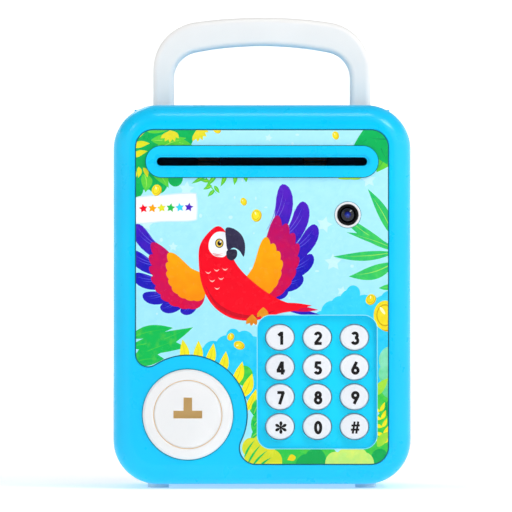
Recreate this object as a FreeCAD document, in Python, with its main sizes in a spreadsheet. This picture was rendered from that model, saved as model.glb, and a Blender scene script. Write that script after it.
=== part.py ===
"""Toy ATM savings bank: a case whose whole front is a door with a keypad, a turning lock and a note feeder.

The case stands on the XY plane, its front faces -Y and +X is on the viewer's right. All lengths are
millimetres. Heights below are measured from the underside of the case, and every solid is lifted by
the height of the feet.
"""
import FreeCAD, Part
import math
import os
import re

import Sketcher

Vector = FreeCAD.Vector

SIZES = {
    # the two halves of the case
    "foot_height": 2.0,
    "foot_radius": 4.8,
    "foot_sink": 0.9,
    "foot_spread": 47.0,
    "foot_front": -24.6,
    "foot_back": 44.0,
    "case_width": 134.0,
    "case_height": 171.0,
    "case_corner": 20.0,
    "soft_edge": 9.0,
    "door_front": -54.0,
    "door_rear": -30.0,
    "door_wall": 2.2,
    "front_wall": 2.6,
    "body_front": -29.6,
    "body_rear": 55.0,
    "body_wall": 2.4,
    # hinge on the right edge
    "hinge_offset": 2.6,
    "hinge_depth": -29.8,
    "knuckle_radius": 2.5,
    "knuckle_gap": 0.3,
    "pin_radius": 1.0,
    "pin_play": 0.06,
    "rabbet_depth": 3.4,
    "rabbet_inset": 3.2,
    "rabbet_low": 9.0,
    "rabbet_high": 162.0,
    "rail_width": 8.2,
    "rail_thick": 5.2,
    # picture panel and its corner notch round the lock
    "label_half": 57.0,
    "label_low": 9.05,
    "label_high": 159.8,
    "label_corner": 8.0,
    "label_floor": -53.0,
    "label_thick": 0.8,
    "label_play": 0.25,
    "notch_radius": 26.7,
    "side_lobe": 5.8,
    "base_lobe": 7.4,
    # lock
    "lock_side": -33.4,
    "lock_height": 31.55,
    "bezel_radius": 20.3,
    "sleeve_radius": 17.0,
    "dial_radius": 15.25,
    "dial_front": -54.9,
    "hub_radius": 9.5,
    "shaft_radius": 4.0,
    "shaft_end": -24.7,
    "key_half_width": 6.5,
    "key_bar": 3.5,
    "key_stem": 3.9,
    "key_rise": 5.9,
    "key_floor": -47.5,
    "cam_front": -24.6,
    "cam_thick": 2.4,
    "cam_reach": 27.5,
    "cam_width": 9.0,
    "plunger_side": -50.2,
    "plunger_height": 24.65,
    "plunger_radius": 1.8,
    "plunger_end": -28.2,
    # keypad
    "tray_side": 24.85,
    "tray_height": 46.2,
    "tray_width": 53.2,
    "tray_tall": 59.4,
    "tray_corner": 5.8,
    "tray_floor": -51.6,
    "tray_back": -50.0,
    "key_pitch": 16.75,
    "row_pitch": 13.4,
    "button_half": 6.3,
    "button_half_tall": 5.65,
    "button_play": 0.42,
    "button_front": -54.3,
    "button_round": 1.1,
    "flange_front": -49.9,
    "flange_rear": -48.9,
    "flange_rim": 0.9,
    # camera
    "eye_side": 38.6,
    "eye_height": 121.45,
    "eye_ring": 5.85,
    "eye_barrel": 4.7,
    # note slot and feeder
    "slot_height": 145.4,
    "slot_width": 94.8,
    "slot_tall": 3.9,
    "rim_width": 104.5,
    "rim_tall": 14.0,
    "rim_front": -55.4,
    "sleeve_width": 99.6,
    "sleeve_tall": 8.9,
    "guide_half": 48.4,
    "feed_depth": -41.8,
    "feed_height": 140.0,
    "pinch_height": 150.6,
    "idler_height": 129.0,
    "motor_height": 118.5,
    "axle_radius": 1.5,
    "feed_roller": 5.2,
    "pinch_roller": 5.0,
    "roller_side": 24.0,
    "roller_width": 10.0,
    # batteries
    "pocket_left": -58.5,
    "pocket_right": -5.5,
    "pocket_low": 59.0,
    "pocket_high": 106.0,
    "pocket_floor": -49.0,
    "pocket_wall": 1.4,
    "cell_radius": 7.25,
    "cell_length": 49.5,
    "cell_pitch": 15.7,
    # speaker
    "speaker_side": 16.0,
    "speaker_height": 97.5,
    "speaker_radius": 18.0,
    # carrying handle and its tray
    "grip_half": 49.5,
    "grip_leg": 9.6,
    "grip_top": 211.4,
    "grip_inner_top": 198.4,
    "grip_thick": 9.0,
    "grip_edge": 2.6,
    "grip_outer_corner": 22.0,
    "grip_inner_corner": 12.0,
    "grip_outer_arch": 222.0,
    "grip_inner_arch": 157.0,
    "pivot_depth": -8.0,
    "pivot_height": 164.5,
    "pivot_radius": 2.5,
    "well_half": 51.5,
    "well_front": -16.0,
    "well_rear": 42.0,
    "well_floor": 158.0,
}

KEY_NAMES = [
    ["1", "2", "3"],
    ["4", "5", "6"],
    ["7", "8", "9"],
    ["star", "0", "hash"],
]
COVER_SCREWS = [(-60.5, 54.0), (-40.0, 162.5), (40.0, 162.5), (52.8, 96.5), (50.0, 10.0), (-6.5, 9.0)]
BOARD_POSTS = [(-2.3, 18.5), (-2.3, 74.5), (52.0, 18.5), (52.0, 74.5)]
KEYPAD_POSTS = [(1.0, 19.3), (48.7, 19.3), (1.0, 73.1), (48.7, 73.1)]
HINGE_BASES = {"lower": 34.5, "upper": 108.5}
BODY_KNUCKLE = 8.0
DOOR_KNUCKLE = 12.0

doc = FreeCAD.newDocument("toy_atm_bank")
pieces = []


# ---------------------------------------------------------------- sheet and expressions

def fill_sheet():
    """The spreadsheet of driving dimensions, one named cell for each."""
    table = doc.addObject("Spreadsheet::Sheet", "Dimensions")
    for row, (name, value) in enumerate(SIZES.items(), start=1):
        table.set(f"A{row}", name)
        table.set(f"B{row}", str(value))
        table.setAlias(f"B{row}", name)
    doc.recompute()
    return table


sheet = fill_sheet()
NAME = re.compile(r"\b(?!sqrt\b)[a-z][a-z_]+\b")


def linked(text):
    """The text with every dimension's name turned into a reference to its cell."""
    return NAME.sub(lambda match: f"Dimensions.{match.group()}", str(text))


def bind(item, field, text):
    item.setExpression(field, linked(text))


def number(text):
    """The present value of an expression, for shapes that are worked out in this script."""
    return float(sheet.evalExpression(linked(text)))


def place(item, x, y, z):
    """Bind the place of an item; z is above the underside of the case."""
    bind(item, "Placement.Base.x", x)
    bind(item, "Placement.Base.y", y)
    bind(item, "Placement.Base.z", f"({z}) + foot_height")


# ---------------------------------------------------------------- solids

TURNS = {
    "x": FreeCAD.Rotation(Vector(0, 1, 0), 90),
    "y": FreeCAD.Rotation(Vector(1, 0, 0), -90),
    "z": FreeCAD.Rotation(),
}


def block(name, x, y, z):
    """A box; x, y and z are each a pair of planes."""
    item = doc.addObject("Part::Box", name)
    for field, (low, high) in (("Length", x), ("Width", y), ("Height", z)):
        bind(item, field, f"({high}) - ({low})")
    place(item, x[0], y[0], z[0])
    return item


def rod(name, axis, centre, radius, span):
    """A round bar along an axis, through its centre on the two other axes."""
    item = doc.addObject("Part::Cylinder", name)
    item.Placement = FreeCAD.Placement(Vector(), TURNS[axis])
    bind(item, "Radius", radius)
    bind(item, "Height", f"({span[1]}) - ({span[0]})")
    base = list(centre)
    base.insert("xyz".index(axis), span[0])
    place(item, *base)
    return item


def oval(name, centre, half_width, half_tall, y):
    """A bar of elliptical section along Y."""
    rim = doc.addObject("Part::Ellipse", name + "_rim")
    rim.Placement = FreeCAD.Placement(Vector(), FreeCAD.Rotation(Vector(1, 0, 0), 90))
    bind(rim, "MajorRadius", half_width)
    bind(rim, "MinorRadius", half_tall)
    place(rim, centre[0], y[0], centre[1])
    item = doc.addObject("Part::Extrusion", name)
    item.Base = rim
    item.DirMode = "Custom"
    item.Dir = Vector(0, 1, 0)
    item.Solid = True
    bind(item, "LengthFwd", f"({y[1]}) - ({y[0]})")
    return item


def rounded_block(name, x, y, z, along, corner, soft=None, soft_side=None):
    """A box whose edges along one axis are rounded, and then, if asked, all edges of one end."""
    body = doc.addObject("PartDesign::Body", name)
    core = body.newObject("PartDesign::AdditiveBox", name + "_core")
    for field, (low, high) in (("Length", x), ("Width", y), ("Height", z)):
        bind(core, field, f"({high}) - ({low})")
    doc.recompute()
    axis = {"x": Vector(1, 0, 0), "y": Vector(0, 1, 0), "z": Vector(0, 0, 1)}[along]
    picked = [
        f"Edge{index}" for index, edge in enumerate(core.Shape.Edges, start=1)
        if abs(edge.tangentAt(edge.FirstParameter).dot(axis)) > 0.99
    ]
    corners = body.newObject("PartDesign::Fillet", name + "_corners")
    corners.Base = (core, picked)
    bind(corners, "Radius", corner)
    if soft:
        doc.recompute()
        box = corners.Shape.BoundBox
        level = box.YMin if soft_side == "front" else box.YMax
        rim = [
            f"Edge{index}" for index, edge in enumerate(corners.Shape.Edges, start=1)
            if abs(edge.BoundBox.YMin - level) < 0.01 and abs(edge.BoundBox.YMax - level) < 0.01
        ]
        softened = body.newObject("PartDesign::Fillet", name + "_soft")
        softened.Base = (corners, rim)
        bind(softened, "Radius", soft)
    place(body, x[0], y[0], z[0])
    return body


def draw_outline(sketch, points):
    """A closed chain of straight lines whose corners are bound to the sheet."""
    count = len(points)
    spots = [Vector(number(x), number(y), 0) for x, y in points]
    for index in range(count):
        sketch.addGeometry(Part.LineSegment(spots[index], spots[(index + 1) % count]), False)
    for index in range(count):
        sketch.addConstraint(Sketcher.Constraint("Coincident", index, 2, (index + 1) % count, 1))
    for index, point in enumerate(points):
        for kind, value, text in zip(("DistanceX", "DistanceY"), spots[index], point):
            rule = sketch.addConstraint(Sketcher.Constraint(kind, -1, 1, index, 1, value))
            sketch.setExpression(f"Constraints[{rule}]", linked(text))


def sketch_in(body, role):
    """An empty sketch on one of the body's own origin planes."""
    plane = [item for item in body.Origin.OriginFeatures if item.Role == role][0]
    sketch = body.newObject("Sketcher::SketchObject", body.Name + "_sketch")
    sketch.AttachmentSupport = [(plane, "")]
    sketch.MapMode = "FlatFace"
    return sketch


def prism(name, points, y):
    """A straight-sided bar along Y; its section's corners are (x, z) pairs."""
    body = doc.addObject("PartDesign::Body", name)
    sketch = sketch_in(body, "XZ_Plane")
    draw_outline(sketch, points)
    pad = body.newObject("PartDesign::Pad", name + "_pad")
    pad.Profile = sketch
    pad.Reversed = True
    bind(pad, "Length", f"({y[1]}) - ({y[0]})")
    place(body, 0, y[0], 0)
    return body


def turned(name, centre, profile):
    """A solid turned about a line along Y; its profile is a chain of (radius, y) corners."""
    body = doc.addObject("PartDesign::Body", name)
    sketch = sketch_in(body, "XY_Plane")
    draw_outline(sketch, profile)
    spin = body.newObject("PartDesign::Revolution", name + "_spin")
    spin.Profile = sketch
    spin.ReferenceAxis = (sketch, ["V_Axis"])
    spin.Angle = 360.0
    place(body, centre[0], 0, centre[1])
    return body


# ---------------------------------------------------------------- combinations

def fuse(name, *items):
    item = doc.addObject("Part::MultiFuse", name)
    item.Shapes = list(items)
    item.Refine = True
    return item


def cut(name, base, *tools):
    item = doc.addObject("Part::Cut", name)
    item.Base = base
    item.Tool = tools[0] if len(tools) == 1 else fuse(name + "_tools", *tools)
    item.Refine = True
    return item


def common(name, first, second):
    item = doc.addObject("Part::MultiCommon", name)
    item.Shapes = [first, second]
    item.Refine = True
    return item


def gather(name, *items):
    """Separate solids of one kind, kept as one sub-part."""
    item = doc.addObject("Part::Compound", name)
    item.Links = list(items)
    return item


def stadium(name, centre, width, tall, y):
    """A bar along Y with straight long sides and half-round ends."""
    side, height = centre
    low, high = f"{height} - ({tall})/2", f"{height} + ({tall})/2"
    reach = f"(({width}) - ({tall}))/2"
    middle = block(name + "_middle", (f"{side} - {reach}", f"{side} + {reach}"), y, (low, high))
    ends = [
        rod(f"{name}_{end}", "y", (f"{side} {sign} {reach}", height), f"({tall})/2", y)
        for end, sign in (("left", "-"), ("right", "+"))
    ]
    return fuse(name, middle, *ends)


def soften(name, base, radius, wanted):
    """Round the edges of a solid whose bounding box is wanted."""
    doc.recompute()
    size = number(radius)
    item = doc.addObject("Part::Fillet", name)
    item.Base = base
    item.Edges = [
        (index, size, size) for index, edge in enumerate(base.Shape.Edges, start=1) if wanted(edge.BoundBox)
    ]
    return item


def keep(name, item):
    """Hand the item in as the sub-part of that name."""
    item.Label = name
    pieces.append(item)
    return item


# ---------------------------------------------------------------- shared outlines

HALF = "case_width/2"


def case_outline(name, y, soft_side):
    x, z = (f"-{HALF}", HALF), ("0", "case_height")
    return rounded_block(name, x, y, z, "y", "case_corner", "soft_edge", soft_side)


def case_cavity(name, wall, y, soft_side):
    x, z = (f"-{HALF} + {wall}", f"{HALF} - {wall}"), (wall, f"case_height - {wall}")
    return rounded_block(name, x, y, z, "y", f"case_corner - {wall}", f"soft_edge - {wall}", soft_side)


def label_area(name, play, y):
    """The picture panel's outline, grown by the play: a rounded sheet with a notch round the lock."""
    full = rounded_block(
        name + "_full",
        (f"-label_half - {play}", f"label_half + {play}"),
        y,
        (f"label_low - {play}", f"label_high + {play}"),
        "y",
        f"label_corner + {play}",
    )
    side_x = "-label_half + side_lobe"
    side_run = f"({side_x} - lock_side)"
    side_z = f"lock_height + sqrt((notch_radius + side_lobe)^2 - {side_run}^2)"
    base_z = "(label_low + base_lobe)"
    base_run = f"(lock_height - {base_z})"
    base_x = f"lock_side + sqrt((notch_radius + base_lobe)^2 - {base_run}^2)"
    beyond = "-label_half - 5"
    below = "label_low - 5"
    wedge = prism(name + "_wedge", [
        (beyond, side_z),
        (side_x, side_z),
        ("lock_side", "lock_height"),
        (base_x, base_z),
        (base_x, below),
        (beyond, below),
    ], y)
    round_part = rod(name + "_round", "y", ("lock_side", "lock_height"), f"notch_radius - {play}", y)
    side = rod(name + "_side", "y", (side_x, side_z), f"side_lobe + {play}", y)
    base = rod(name + "_base", "y", (base_x, base_z), f"base_lobe + {play}", y)
    notch = cut(name + "_notch", fuse(name + "_bite", wedge, round_part), side, base)
    return cut(name, full, notch)


def key_spots():
    """Name and centre of each key, from the top left."""
    for row, names in enumerate(KEY_NAMES):
        for column, key in enumerate(names):
            yield key, (f"tray_side + key_pitch*({column - 1})", f"tray_height + row_pitch*({1.5 - row})")


def posts(name, spots, radius, y):
    return [rod(f"{name}_{index}", "y", spot, radius, y) for index, spot in enumerate(spots, start=1)]


def knuckle(name, low, high, reach):
    """A hinge barrel and the web that joins it to its rail; reach is the far y of the web."""
    axis_x = f"{HALF} - hinge_offset"
    barrel = rod(name + "_barrel", "z", (axis_x, "hinge_depth"), "knuckle_radius", (low, high))
    y = (reach, "hinge_depth") if number(reach) < number("hinge_depth") else ("hinge_depth", reach)
    web = block(name + "_web", (f"{axis_x} - knuckle_radius", f"{axis_x} + knuckle_radius"), y, (low, high))
    return fuse(name, barrel, web)


def pin_bore(name, radius):
    axis_x = f"{HALF} - hinge_offset"
    return rod(name, "z", (axis_x, "hinge_depth"), radius, ("rabbet_low + 1", "rabbet_high - 1"))


# ---------------------------------------------------------------- door

def make_door_shell():
    outline = case_outline("door_outline", ("door_front", "door_rear"), "front")
    cavity = case_cavity("door_cavity", "door_wall", ("door_front + front_wall", "door_rear + 1"), "front")
    rail = common("door_rail", outline, block(
        "door_rail_block", (f"{HALF} - rail_width", HALF), ("door_rear - rail_thick", "door_rear"),
        ("0", "case_height")))
    rabbet = block(
        "door_rabbet", (f"{HALF} - hinge_offset - rabbet_inset", f"{HALF} + 1"),
        ("hinge_depth - rabbet_depth", "door_rear + 1"), ("rabbet_low", "rabbet_high"))
    walls = cut("door_walls", outline, cavity)
    frame = cut("door_frame", fuse("door_sides", walls, rail), rabbet)
    inner_face = "door_front + front_wall - 0.2"
    half_tray, half_tall = "tray_width/2 + 2", "tray_tall/2 + 2"
    backing = block(
        "tray_backing", (f"tray_side - ({half_tray})", f"tray_side + {half_tray}"),
        (inner_face, "tray_back"),
        (f"tray_height - ({half_tall})", f"tray_height + {half_tall}"))
    added = [backing]
    added += posts("cover_boss", COVER_SCREWS, 3.2, (inner_face, "door_rear - 2.2"))
    added += posts("board_post", BOARD_POSTS, 1.6, (inner_face, -41))
    added += posts("keypad_post", KEYPAD_POSTS, 1.4, (inner_face, -46.5))
    added += posts("feeder_post", [(-44, 132.5), (44, 132.5)], 2.4, (inner_face, -48.8))
    for place_name, base in HINGE_BASES.items():
        low = base + BODY_KNUCKLE
        added.append(knuckle(
            f"door_knuckle_{place_name}", f"{low} + knuckle_gap", f"{low + DOOR_KNUCKLE} - knuckle_gap",
            "hinge_depth - rabbet_depth - 0.4"))
    solid = fuse("door_solid", frame, *added)
    holes = [
        label_area("label_recess", "label_play", ("door_front - 1", "label_floor")),
        rounded_block(
            "tray_hollow", ("tray_side - tray_width/2", "tray_side + tray_width/2"),
            ("door_front - 1", "tray_floor"),
            ("tray_height - tray_tall/2", "tray_height + tray_tall/2"), "y", "tray_corner"),
        stadium(
            "slot_hole", ("0", "slot_height"), "sleeve_width + 0.3", "sleeve_tall + 0.3",
            ("door_front - 1", -51)),
        rod("eye_hole", "y", ("eye_side", "eye_height"), "eye_barrel + 0.25", ("door_front - 1", -51)),
        rod(
            "lock_counterbore", "y", ("lock_side", "lock_height"), "bezel_radius + 0.45",
            ("door_front - 1", -52.5)),
        rod("lock_hole", "y", ("lock_side", "lock_height"), "sleeve_radius + 0.2", ("door_front - 1", -51)),
        pin_bore("door_pin_bore", "pin_radius + pin_play"),
    ]
    holes += posts("cover_pilot", COVER_SCREWS, 1.2, (-40, "door_rear"))
    for key, centre in key_spots():
        holes.append(oval(
            f"key_hole_{key}", centre, "button_half + button_play", "button_half_tall + button_play",
            ("tray_floor - 1", "tray_back + 1")))
    keep("door_shell", cut("door_shell", solid, *holes))


def make_label_panel():
    y = ("label_floor - 0.05 - label_thick", "label_floor - 0.05")
    panel = label_area("panel_sheet", "0", y)
    through = ("label_floor - 3", "label_floor + 3")
    tray = rounded_block(
        "panel_tray_window", ("tray_side - tray_width/2 - 0.2", "tray_side + tray_width/2 + 0.2"), through,
        ("tray_height - tray_tall/2 - 0.2", "tray_height + tray_tall/2 + 0.2"), "y", "tray_corner + 0.2")
    slot = stadium(
        "panel_slot_window", ("0", "slot_height"), "sleeve_width + 0.4", "sleeve_tall + 0.4", through)
    eye = rod("panel_eye_window", "y", ("eye_side", "eye_height"), "eye_ring + 0.15", through)
    keep("label_panel", cut("label_panel", panel, tray, slot, eye))


def make_slot_bezel():
    centre = ("0", "slot_height")
    over_label = "label_floor - label_thick - 0.1"
    rim = stadium("bezel_rim", centre, "rim_width", "rim_tall", ("rim_front", over_label))
    sleeve = stadium("bezel_sleeve", centre, "sleeve_width", "sleeve_tall", (f"{over_label} - 0.1", -49))
    mouth = stadium("bezel_mouth", centre, "slot_width", "slot_tall", ("rim_front - 1", -48))
    flare = stadium(
        "bezel_flare", centre, "slot_width + 2.4", "slot_tall + 2.4", ("rim_front - 1", "rim_front + 0.7"))
    keep("slot_bezel", cut("slot_bezel", fuse("bezel_solid", rim, sleeve), mouth, flare))


def make_buttons():
    for key, centre in key_spots():
        cap = oval(f"cap_{key}", centre, "button_half", "button_half_tall", ("button_front", "flange_rear"))
        front = number("button_front")
        rounded = soften(f"cap_round_{key}", cap, "button_round", lambda box: box.YMax < front + 0.01)
        flange = oval(
            f"flange_{key}", centre, "button_half + flange_rim", "button_half_tall + 0.65",
            ("flange_front", "flange_rear"))
        keep(f"button_{key}", fuse(f"button_{key}", rounded, flange))


def make_keypad_parts():
    x = ("tray_side - 25.5", "tray_side + 25.5")
    z = ("tray_height - 28.5", "tray_height + 28.5")
    sheet_part = block("membrane_sheet", x, (-46.5, -45.7), z)
    domes = [
        turned(f"dome_{key}", centre, [("0", "-47.4"), ("1.4", "-47.4"), ("2.6", "-46.3"), ("0", "-46.3")])
        for key, centre in key_spots()
    ]
    keep("keypad_membrane", fuse("keypad_membrane", sheet_part, *domes))
    keep("keypad_board", block("keypad_board", x, (-45.7, -44.3), z))


def make_main_board():
    board = block("board_sheet", (-4, 53.5), (-41, -39.6), (13.5, 78.5))
    chips = [
        block("chip_main", (10, 24), (-39.6, -37.8), (34, 48)),
        block("chip_audio", (32, 40), (-39.6, -38.2), (54, 62)),
        block("lead_socket", (4, 16), (-39.6, -34.6), (66, 71)),
        block("lock_socket", (0, 5), (-39.6, -34.6), (22, 32)),
        rod("capacitor_tall", "y", (44, 30), 3.2, (-39.6, -33.4)),
        rod("capacitor_small", "y", (36, 26), 2.4, (-39.6, -34.4)),
    ]
    keep("main_board", fuse("main_board", board, *chips))


def make_camera():
    centre = ("eye_side", "eye_height")
    keep("camera_ring", turned("camera_ring", centre, [
        ("eye_barrel + 0.06", "label_floor - 0.9"),
        ("eye_barrel + 0.4", "label_floor - 1.3"),
        ("eye_ring - 0.4", "label_floor - 1.3"),
        ("eye_ring", "label_floor - 0.9"),
        ("eye_ring", "label_floor"),
        ("eye_barrel + 0.06", "label_floor"),
    ]))
    keep("camera_barrel", turned("camera_barrel", centre, [
        ("0", "-51.8"),
        ("3.6", "-51.8"),
        ("3.6", "-53.2"),
        ("4.1", "-54.2"),
        ("eye_barrel", "-54.2"),
        ("eye_barrel", "-51.3"),
        ("6.5", "-51.3"),
        ("6.5", "-50.3"),
        ("eye_barrel", "-50.3"),
        ("eye_barrel", "-45.8"),
        ("0", "-45.8"),
    ]))
    keep("camera_lens", turned("camera_lens", centre, [
        ("0", "-53.5"),
        ("1.6", "-53.3"),
        ("2.8", "-52.8"),
        ("3.5", "-52.1"),
        ("3.5", "-51.8"),
        ("0", "-51.8"),
    ]))
    x, z = ("eye_side - 7", "eye_side + 7"), ("eye_height - 7", "eye_height + 7")
    keep("camera_board", block("camera_board", x, (-45.8, -44.6), z))


# ---------------------------------------------------------------- lock

def make_lock():
    centre = ("lock_side", "lock_height")
    keep("lock_escutcheon", turned("lock_escutcheon", centre, [
        ("dial_radius + 0.3", "dial_front"),
        ("dial_radius + 0.9", "dial_front - 0.4"),
        ("bezel_radius - 0.9", "dial_front - 0.4"),
        ("bezel_radius", "dial_front + 0.5"),
        ("bezel_radius", "-52.5"),
        ("sleeve_radius", "-52.5"),
        ("sleeve_radius", "-50.6"),
        ("hub_radius + 0.5", "-50.6"),
        ("hub_radius + 0.5", "-52.2"),
        ("dial_radius + 0.3", "-52.2"),
    ]))
    round_part = turned("dial_round", centre, [
        ("0", "dial_front"),
        ("dial_radius - 0.6", "dial_front"),
        ("dial_radius", "dial_front + 0.6"),
        ("dial_radius", "-52.5"),
        ("hub_radius", "-52.5"),
        ("hub_radius", "-46"),
        ("shaft_radius", "-46"),
        ("shaft_radius", "shaft_end"),
        ("0", "shaft_end"),
    ])
    square = ("lock_side - 1.8", "lock_side + 1.8"), ("lock_height - 1.8", "lock_height + 1.8")
    stub = block("dial_stub", square[0], ("shaft_end - 1", "cam_front + cam_thick"), square[1])
    bar = block(
        "key_bar_hollow", ("lock_side - key_half_width", "lock_side + key_half_width"),
        ("dial_front - 1", "key_floor"), ("lock_height - key_bar/2", "lock_height + key_bar/2"))
    stem = block(
        "key_stem_hollow", ("lock_side - key_stem/2", "lock_side + key_stem/2"),
        ("dial_front - 1", "key_floor"),
        ("lock_height", "lock_height + key_bar/2 + key_rise"))
    bore = rod("dial_screw_bore", "y", centre, 1.2, (-32, "cam_front + cam_thick"))
    keep("lock_dial", cut("lock_dial", fuse("dial_solid", round_part, stub), bar, stem, bore))

    cam_y = ("cam_front", "cam_front + cam_thick")
    hub = rod("cam_hub", "y", centre, 7, cam_y)
    tip_height = "lock_height - cam_reach + cam_width/2"
    arm = block(
        "cam_arm", ("lock_side - cam_width/2", "lock_side + cam_width/2"), cam_y,
        (tip_height, "lock_height"))
    tip = rod("cam_tip", "y", ("lock_side", tip_height), "cam_width/2", cam_y)
    hole = block(
        "cam_square", ("lock_side - 1.85", "lock_side + 1.85"),
        ("cam_front - 1", "cam_front + cam_thick + 1"),
        ("lock_height - 1.85", "lock_height + 1.85"))
    keep("lock_cam", cut("lock_cam", fuse("cam_solid", hub, arm, tip), hole))

    rear = "cam_front + cam_thick"
    keep("lock_screw", turned("lock_screw", centre, [
        ("0", f"{rear} - 6"),
        ("1.15", f"{rear} - 6"),
        ("1.15", rear),
        ("4.2", rear),
        ("4.2", f"{rear} + 1"),
        ("2.6", f"{rear} + 2"),
        ("0", f"{rear} + 2"),
    ]))


def make_solenoid():
    centre = ("plunger_side", "plunger_height")
    x, z = ("plunger_side - 5.5", "plunger_side + 5.5"), ("plunger_height - 5.5", "plunger_height + 5.5")
    case = block("solenoid_block", x, (-46, "door_rear - 2.2"), z)
    bore = rod("solenoid_bore", "y", centre, "plunger_radius + 0.1", (-44.2, "door_rear"))
    keep("solenoid_case", cut("solenoid_case", case, bore))
    keep("solenoid_plunger", turned("solenoid_plunger", centre, [
        ("0", "-44"),
        ("plunger_radius", "-44"),
        ("plunger_radius", "plunger_end - 0.6"),
        ("plunger_radius - 0.6", "plunger_end"),
        ("0", "plunger_end"),
    ]))


# ---------------------------------------------------------------- door's back cover, batteries, speaker

def grille_spots():
    yield (0.0, 0.0)
    for ring, radius in enumerate((4.4, 8.8, 13.2), start=1):
        for step in range(6 * ring):
            angle = math.tau * step / (6 * ring)
            yield (radius * math.cos(angle), radius * math.sin(angle))


def make_back_cover():
    play = "door_wall + 0.3"
    y = ("door_rear - 2.2", "door_rear - 0.2")
    plate = rounded_block(
        "cover_plate", (f"-{HALF} + {play}", f"{HALF} - ({play})"), y,
        (play, f"case_height - ({play})"), "y", f"case_corner - ({play})")
    beside_hinge = block(
        "cover_hinge_side", (f"{HALF} - rail_width - 0.3", HALF), (-34, -29), ("0", "case_height"))
    pocket = block(
        "pocket_outside", ("pocket_left - pocket_wall", "pocket_right + pocket_wall"),
        ("pocket_floor - pocket_wall", "door_rear - 1"),
        ("pocket_low - pocket_wall", "pocket_high + pocket_wall"))
    boss = rod("cover_tab_boss", "y", (-0.2, 83), 2.6, (-37, -31))
    through = (-33, -29)
    holes = [
        beside_hinge,
        block(
            "pocket_inside", ("pocket_left", "pocket_right"), ("pocket_floor", -29),
            ("pocket_low", "pocket_high")),
        block(
            "note_exit", ("-guide_half - 0.3", "guide_half + 0.3"), through,
            ("slot_height - 3.9", "slot_height + 3.9")),
        rod("cover_shaft_hole", "y", ("lock_side", "lock_height"), "shaft_radius + 0.3", through),
        rod("cover_plunger_hole", "y", ("plunger_side", "plunger_height"), "plunger_radius + 0.2", through),
        rod("cover_tab_pilot", "y", (-0.2, 83), 1.15, (-36, -29)),
    ]
    holes += posts("cover_screw_hole", COVER_SCREWS, 1.4, through)
    for index, (side, rise) in enumerate(grille_spots(), start=1):
        holes.append(rod(
            f"grille_hole_{index}", "y",
            (f"speaker_side + {side:.2f}", f"speaker_height + {rise:.2f}"), 1.1, through))
    keep("door_back_cover", cut("door_back_cover", fuse("cover_solid", plate, pocket, boss), *holes))


def make_cover_screws():
    screws = [
        turned(f"cover_screw_{index}", spot, [
            ("0", "-38"),
            ("1.15", "-38"),
            ("1.15", "door_rear - 0.2"),
            ("2.5", "door_rear - 0.2"),
            ("2.5", "door_rear + 0.4"),
            ("1.4", "door_rear + 1"),
            ("0", "door_rear + 1"),
        ])
        for index, spot in enumerate(COVER_SCREWS, start=1)
    ]
    keep("cover_screws", gather("cover_screws", *screws))


def make_batteries():
    middle = "(pocket_low + pocket_high)/2"
    depth = "pocket_floor + cell_radius + 0.4"
    left, right = "pocket_left + 1.3", "pocket_right - 1.2"
    cells = []
    contacts = []
    for index in range(3):
        centre = (depth, f"{middle} + cell_pitch*({index - 1})")
        flipped = index == 1
        can = (right + " - cell_length", right) if flipped else (left, left + " + cell_length")
        nub = (left, can[0]) if flipped else (can[1], right)
        body = rod(f"cell_can_{index}", "x", centre, "cell_radius", can)
        cells.append(fuse(f"cell_{index}", body, rod(f"cell_nub_{index}", "x", centre, 2.7, nub)))
        y = (f"{depth} - 4.5", f"{depth} + 4.5")
        z = (f"{centre[1]} - 4.5", f"{centre[1]} + 4.5")
        for side, x, coil in (
            ("left", ("pocket_left", "pocket_left + 0.5"), ("pocket_left + 0.4", left)),
            ("right", ("pocket_right - 0.5", "pocket_right"), (right, "pocket_right - 0.4")),
        ):
            plate = block(f"contact_{side}_{index}", x, y, z)
            spring = rod(f"spring_{side}_{index}", "x", centre, 2.6, coil)
            contacts.append(fuse(f"terminal_{side}_{index}", plate, spring))
    keep("battery_cells", gather("battery_cells", *cells))
    keep("battery_contacts", gather("battery_contacts", *contacts))


def make_battery_cover():
    y = ("door_rear - 0.1", "door_rear + 1.7")
    lid = rounded_block(
        "lid_plate", ("pocket_left - 2.3", "pocket_right + 2.3"), y,
        ("pocket_low - 1.8", "pocket_high + 1.8"), "y", "3")
    tab = rounded_block("lid_tab", ("pocket_right + 0.5", "pocket_right + 8.6"), y, (79, 87), "y", "2.5")
    hole = rod("lid_screw_hole", "y", (-0.2, 83), 1.25, (-31, -28))
    grips = [
        block(
            f"lid_grip_{index}", ("pocket_left + 3", "pocket_left + 13"),
            ("door_rear + 1.2", "door_rear + 2"), (f"{74 + 4 * index}", f"{75.6 + 4 * index}"))
        for index in range(4)
    ]
    keep("battery_cover", cut("battery_cover", fuse("lid_solid", lid, tab), hole, *grips))
    keep("battery_cover_screw", turned("battery_cover_screw", (-0.2, 83), [
        ("0", "-35.5"),
        ("1.1", "-35.5"),
        ("1.1", "door_rear + 1.7"),
        ("2.2", "door_rear + 1.7"),
        ("2.2", "door_rear + 2.3"),
        ("1.2", "door_rear + 2.8"),
        ("0", "door_rear + 2.8"),
    ]))


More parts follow.
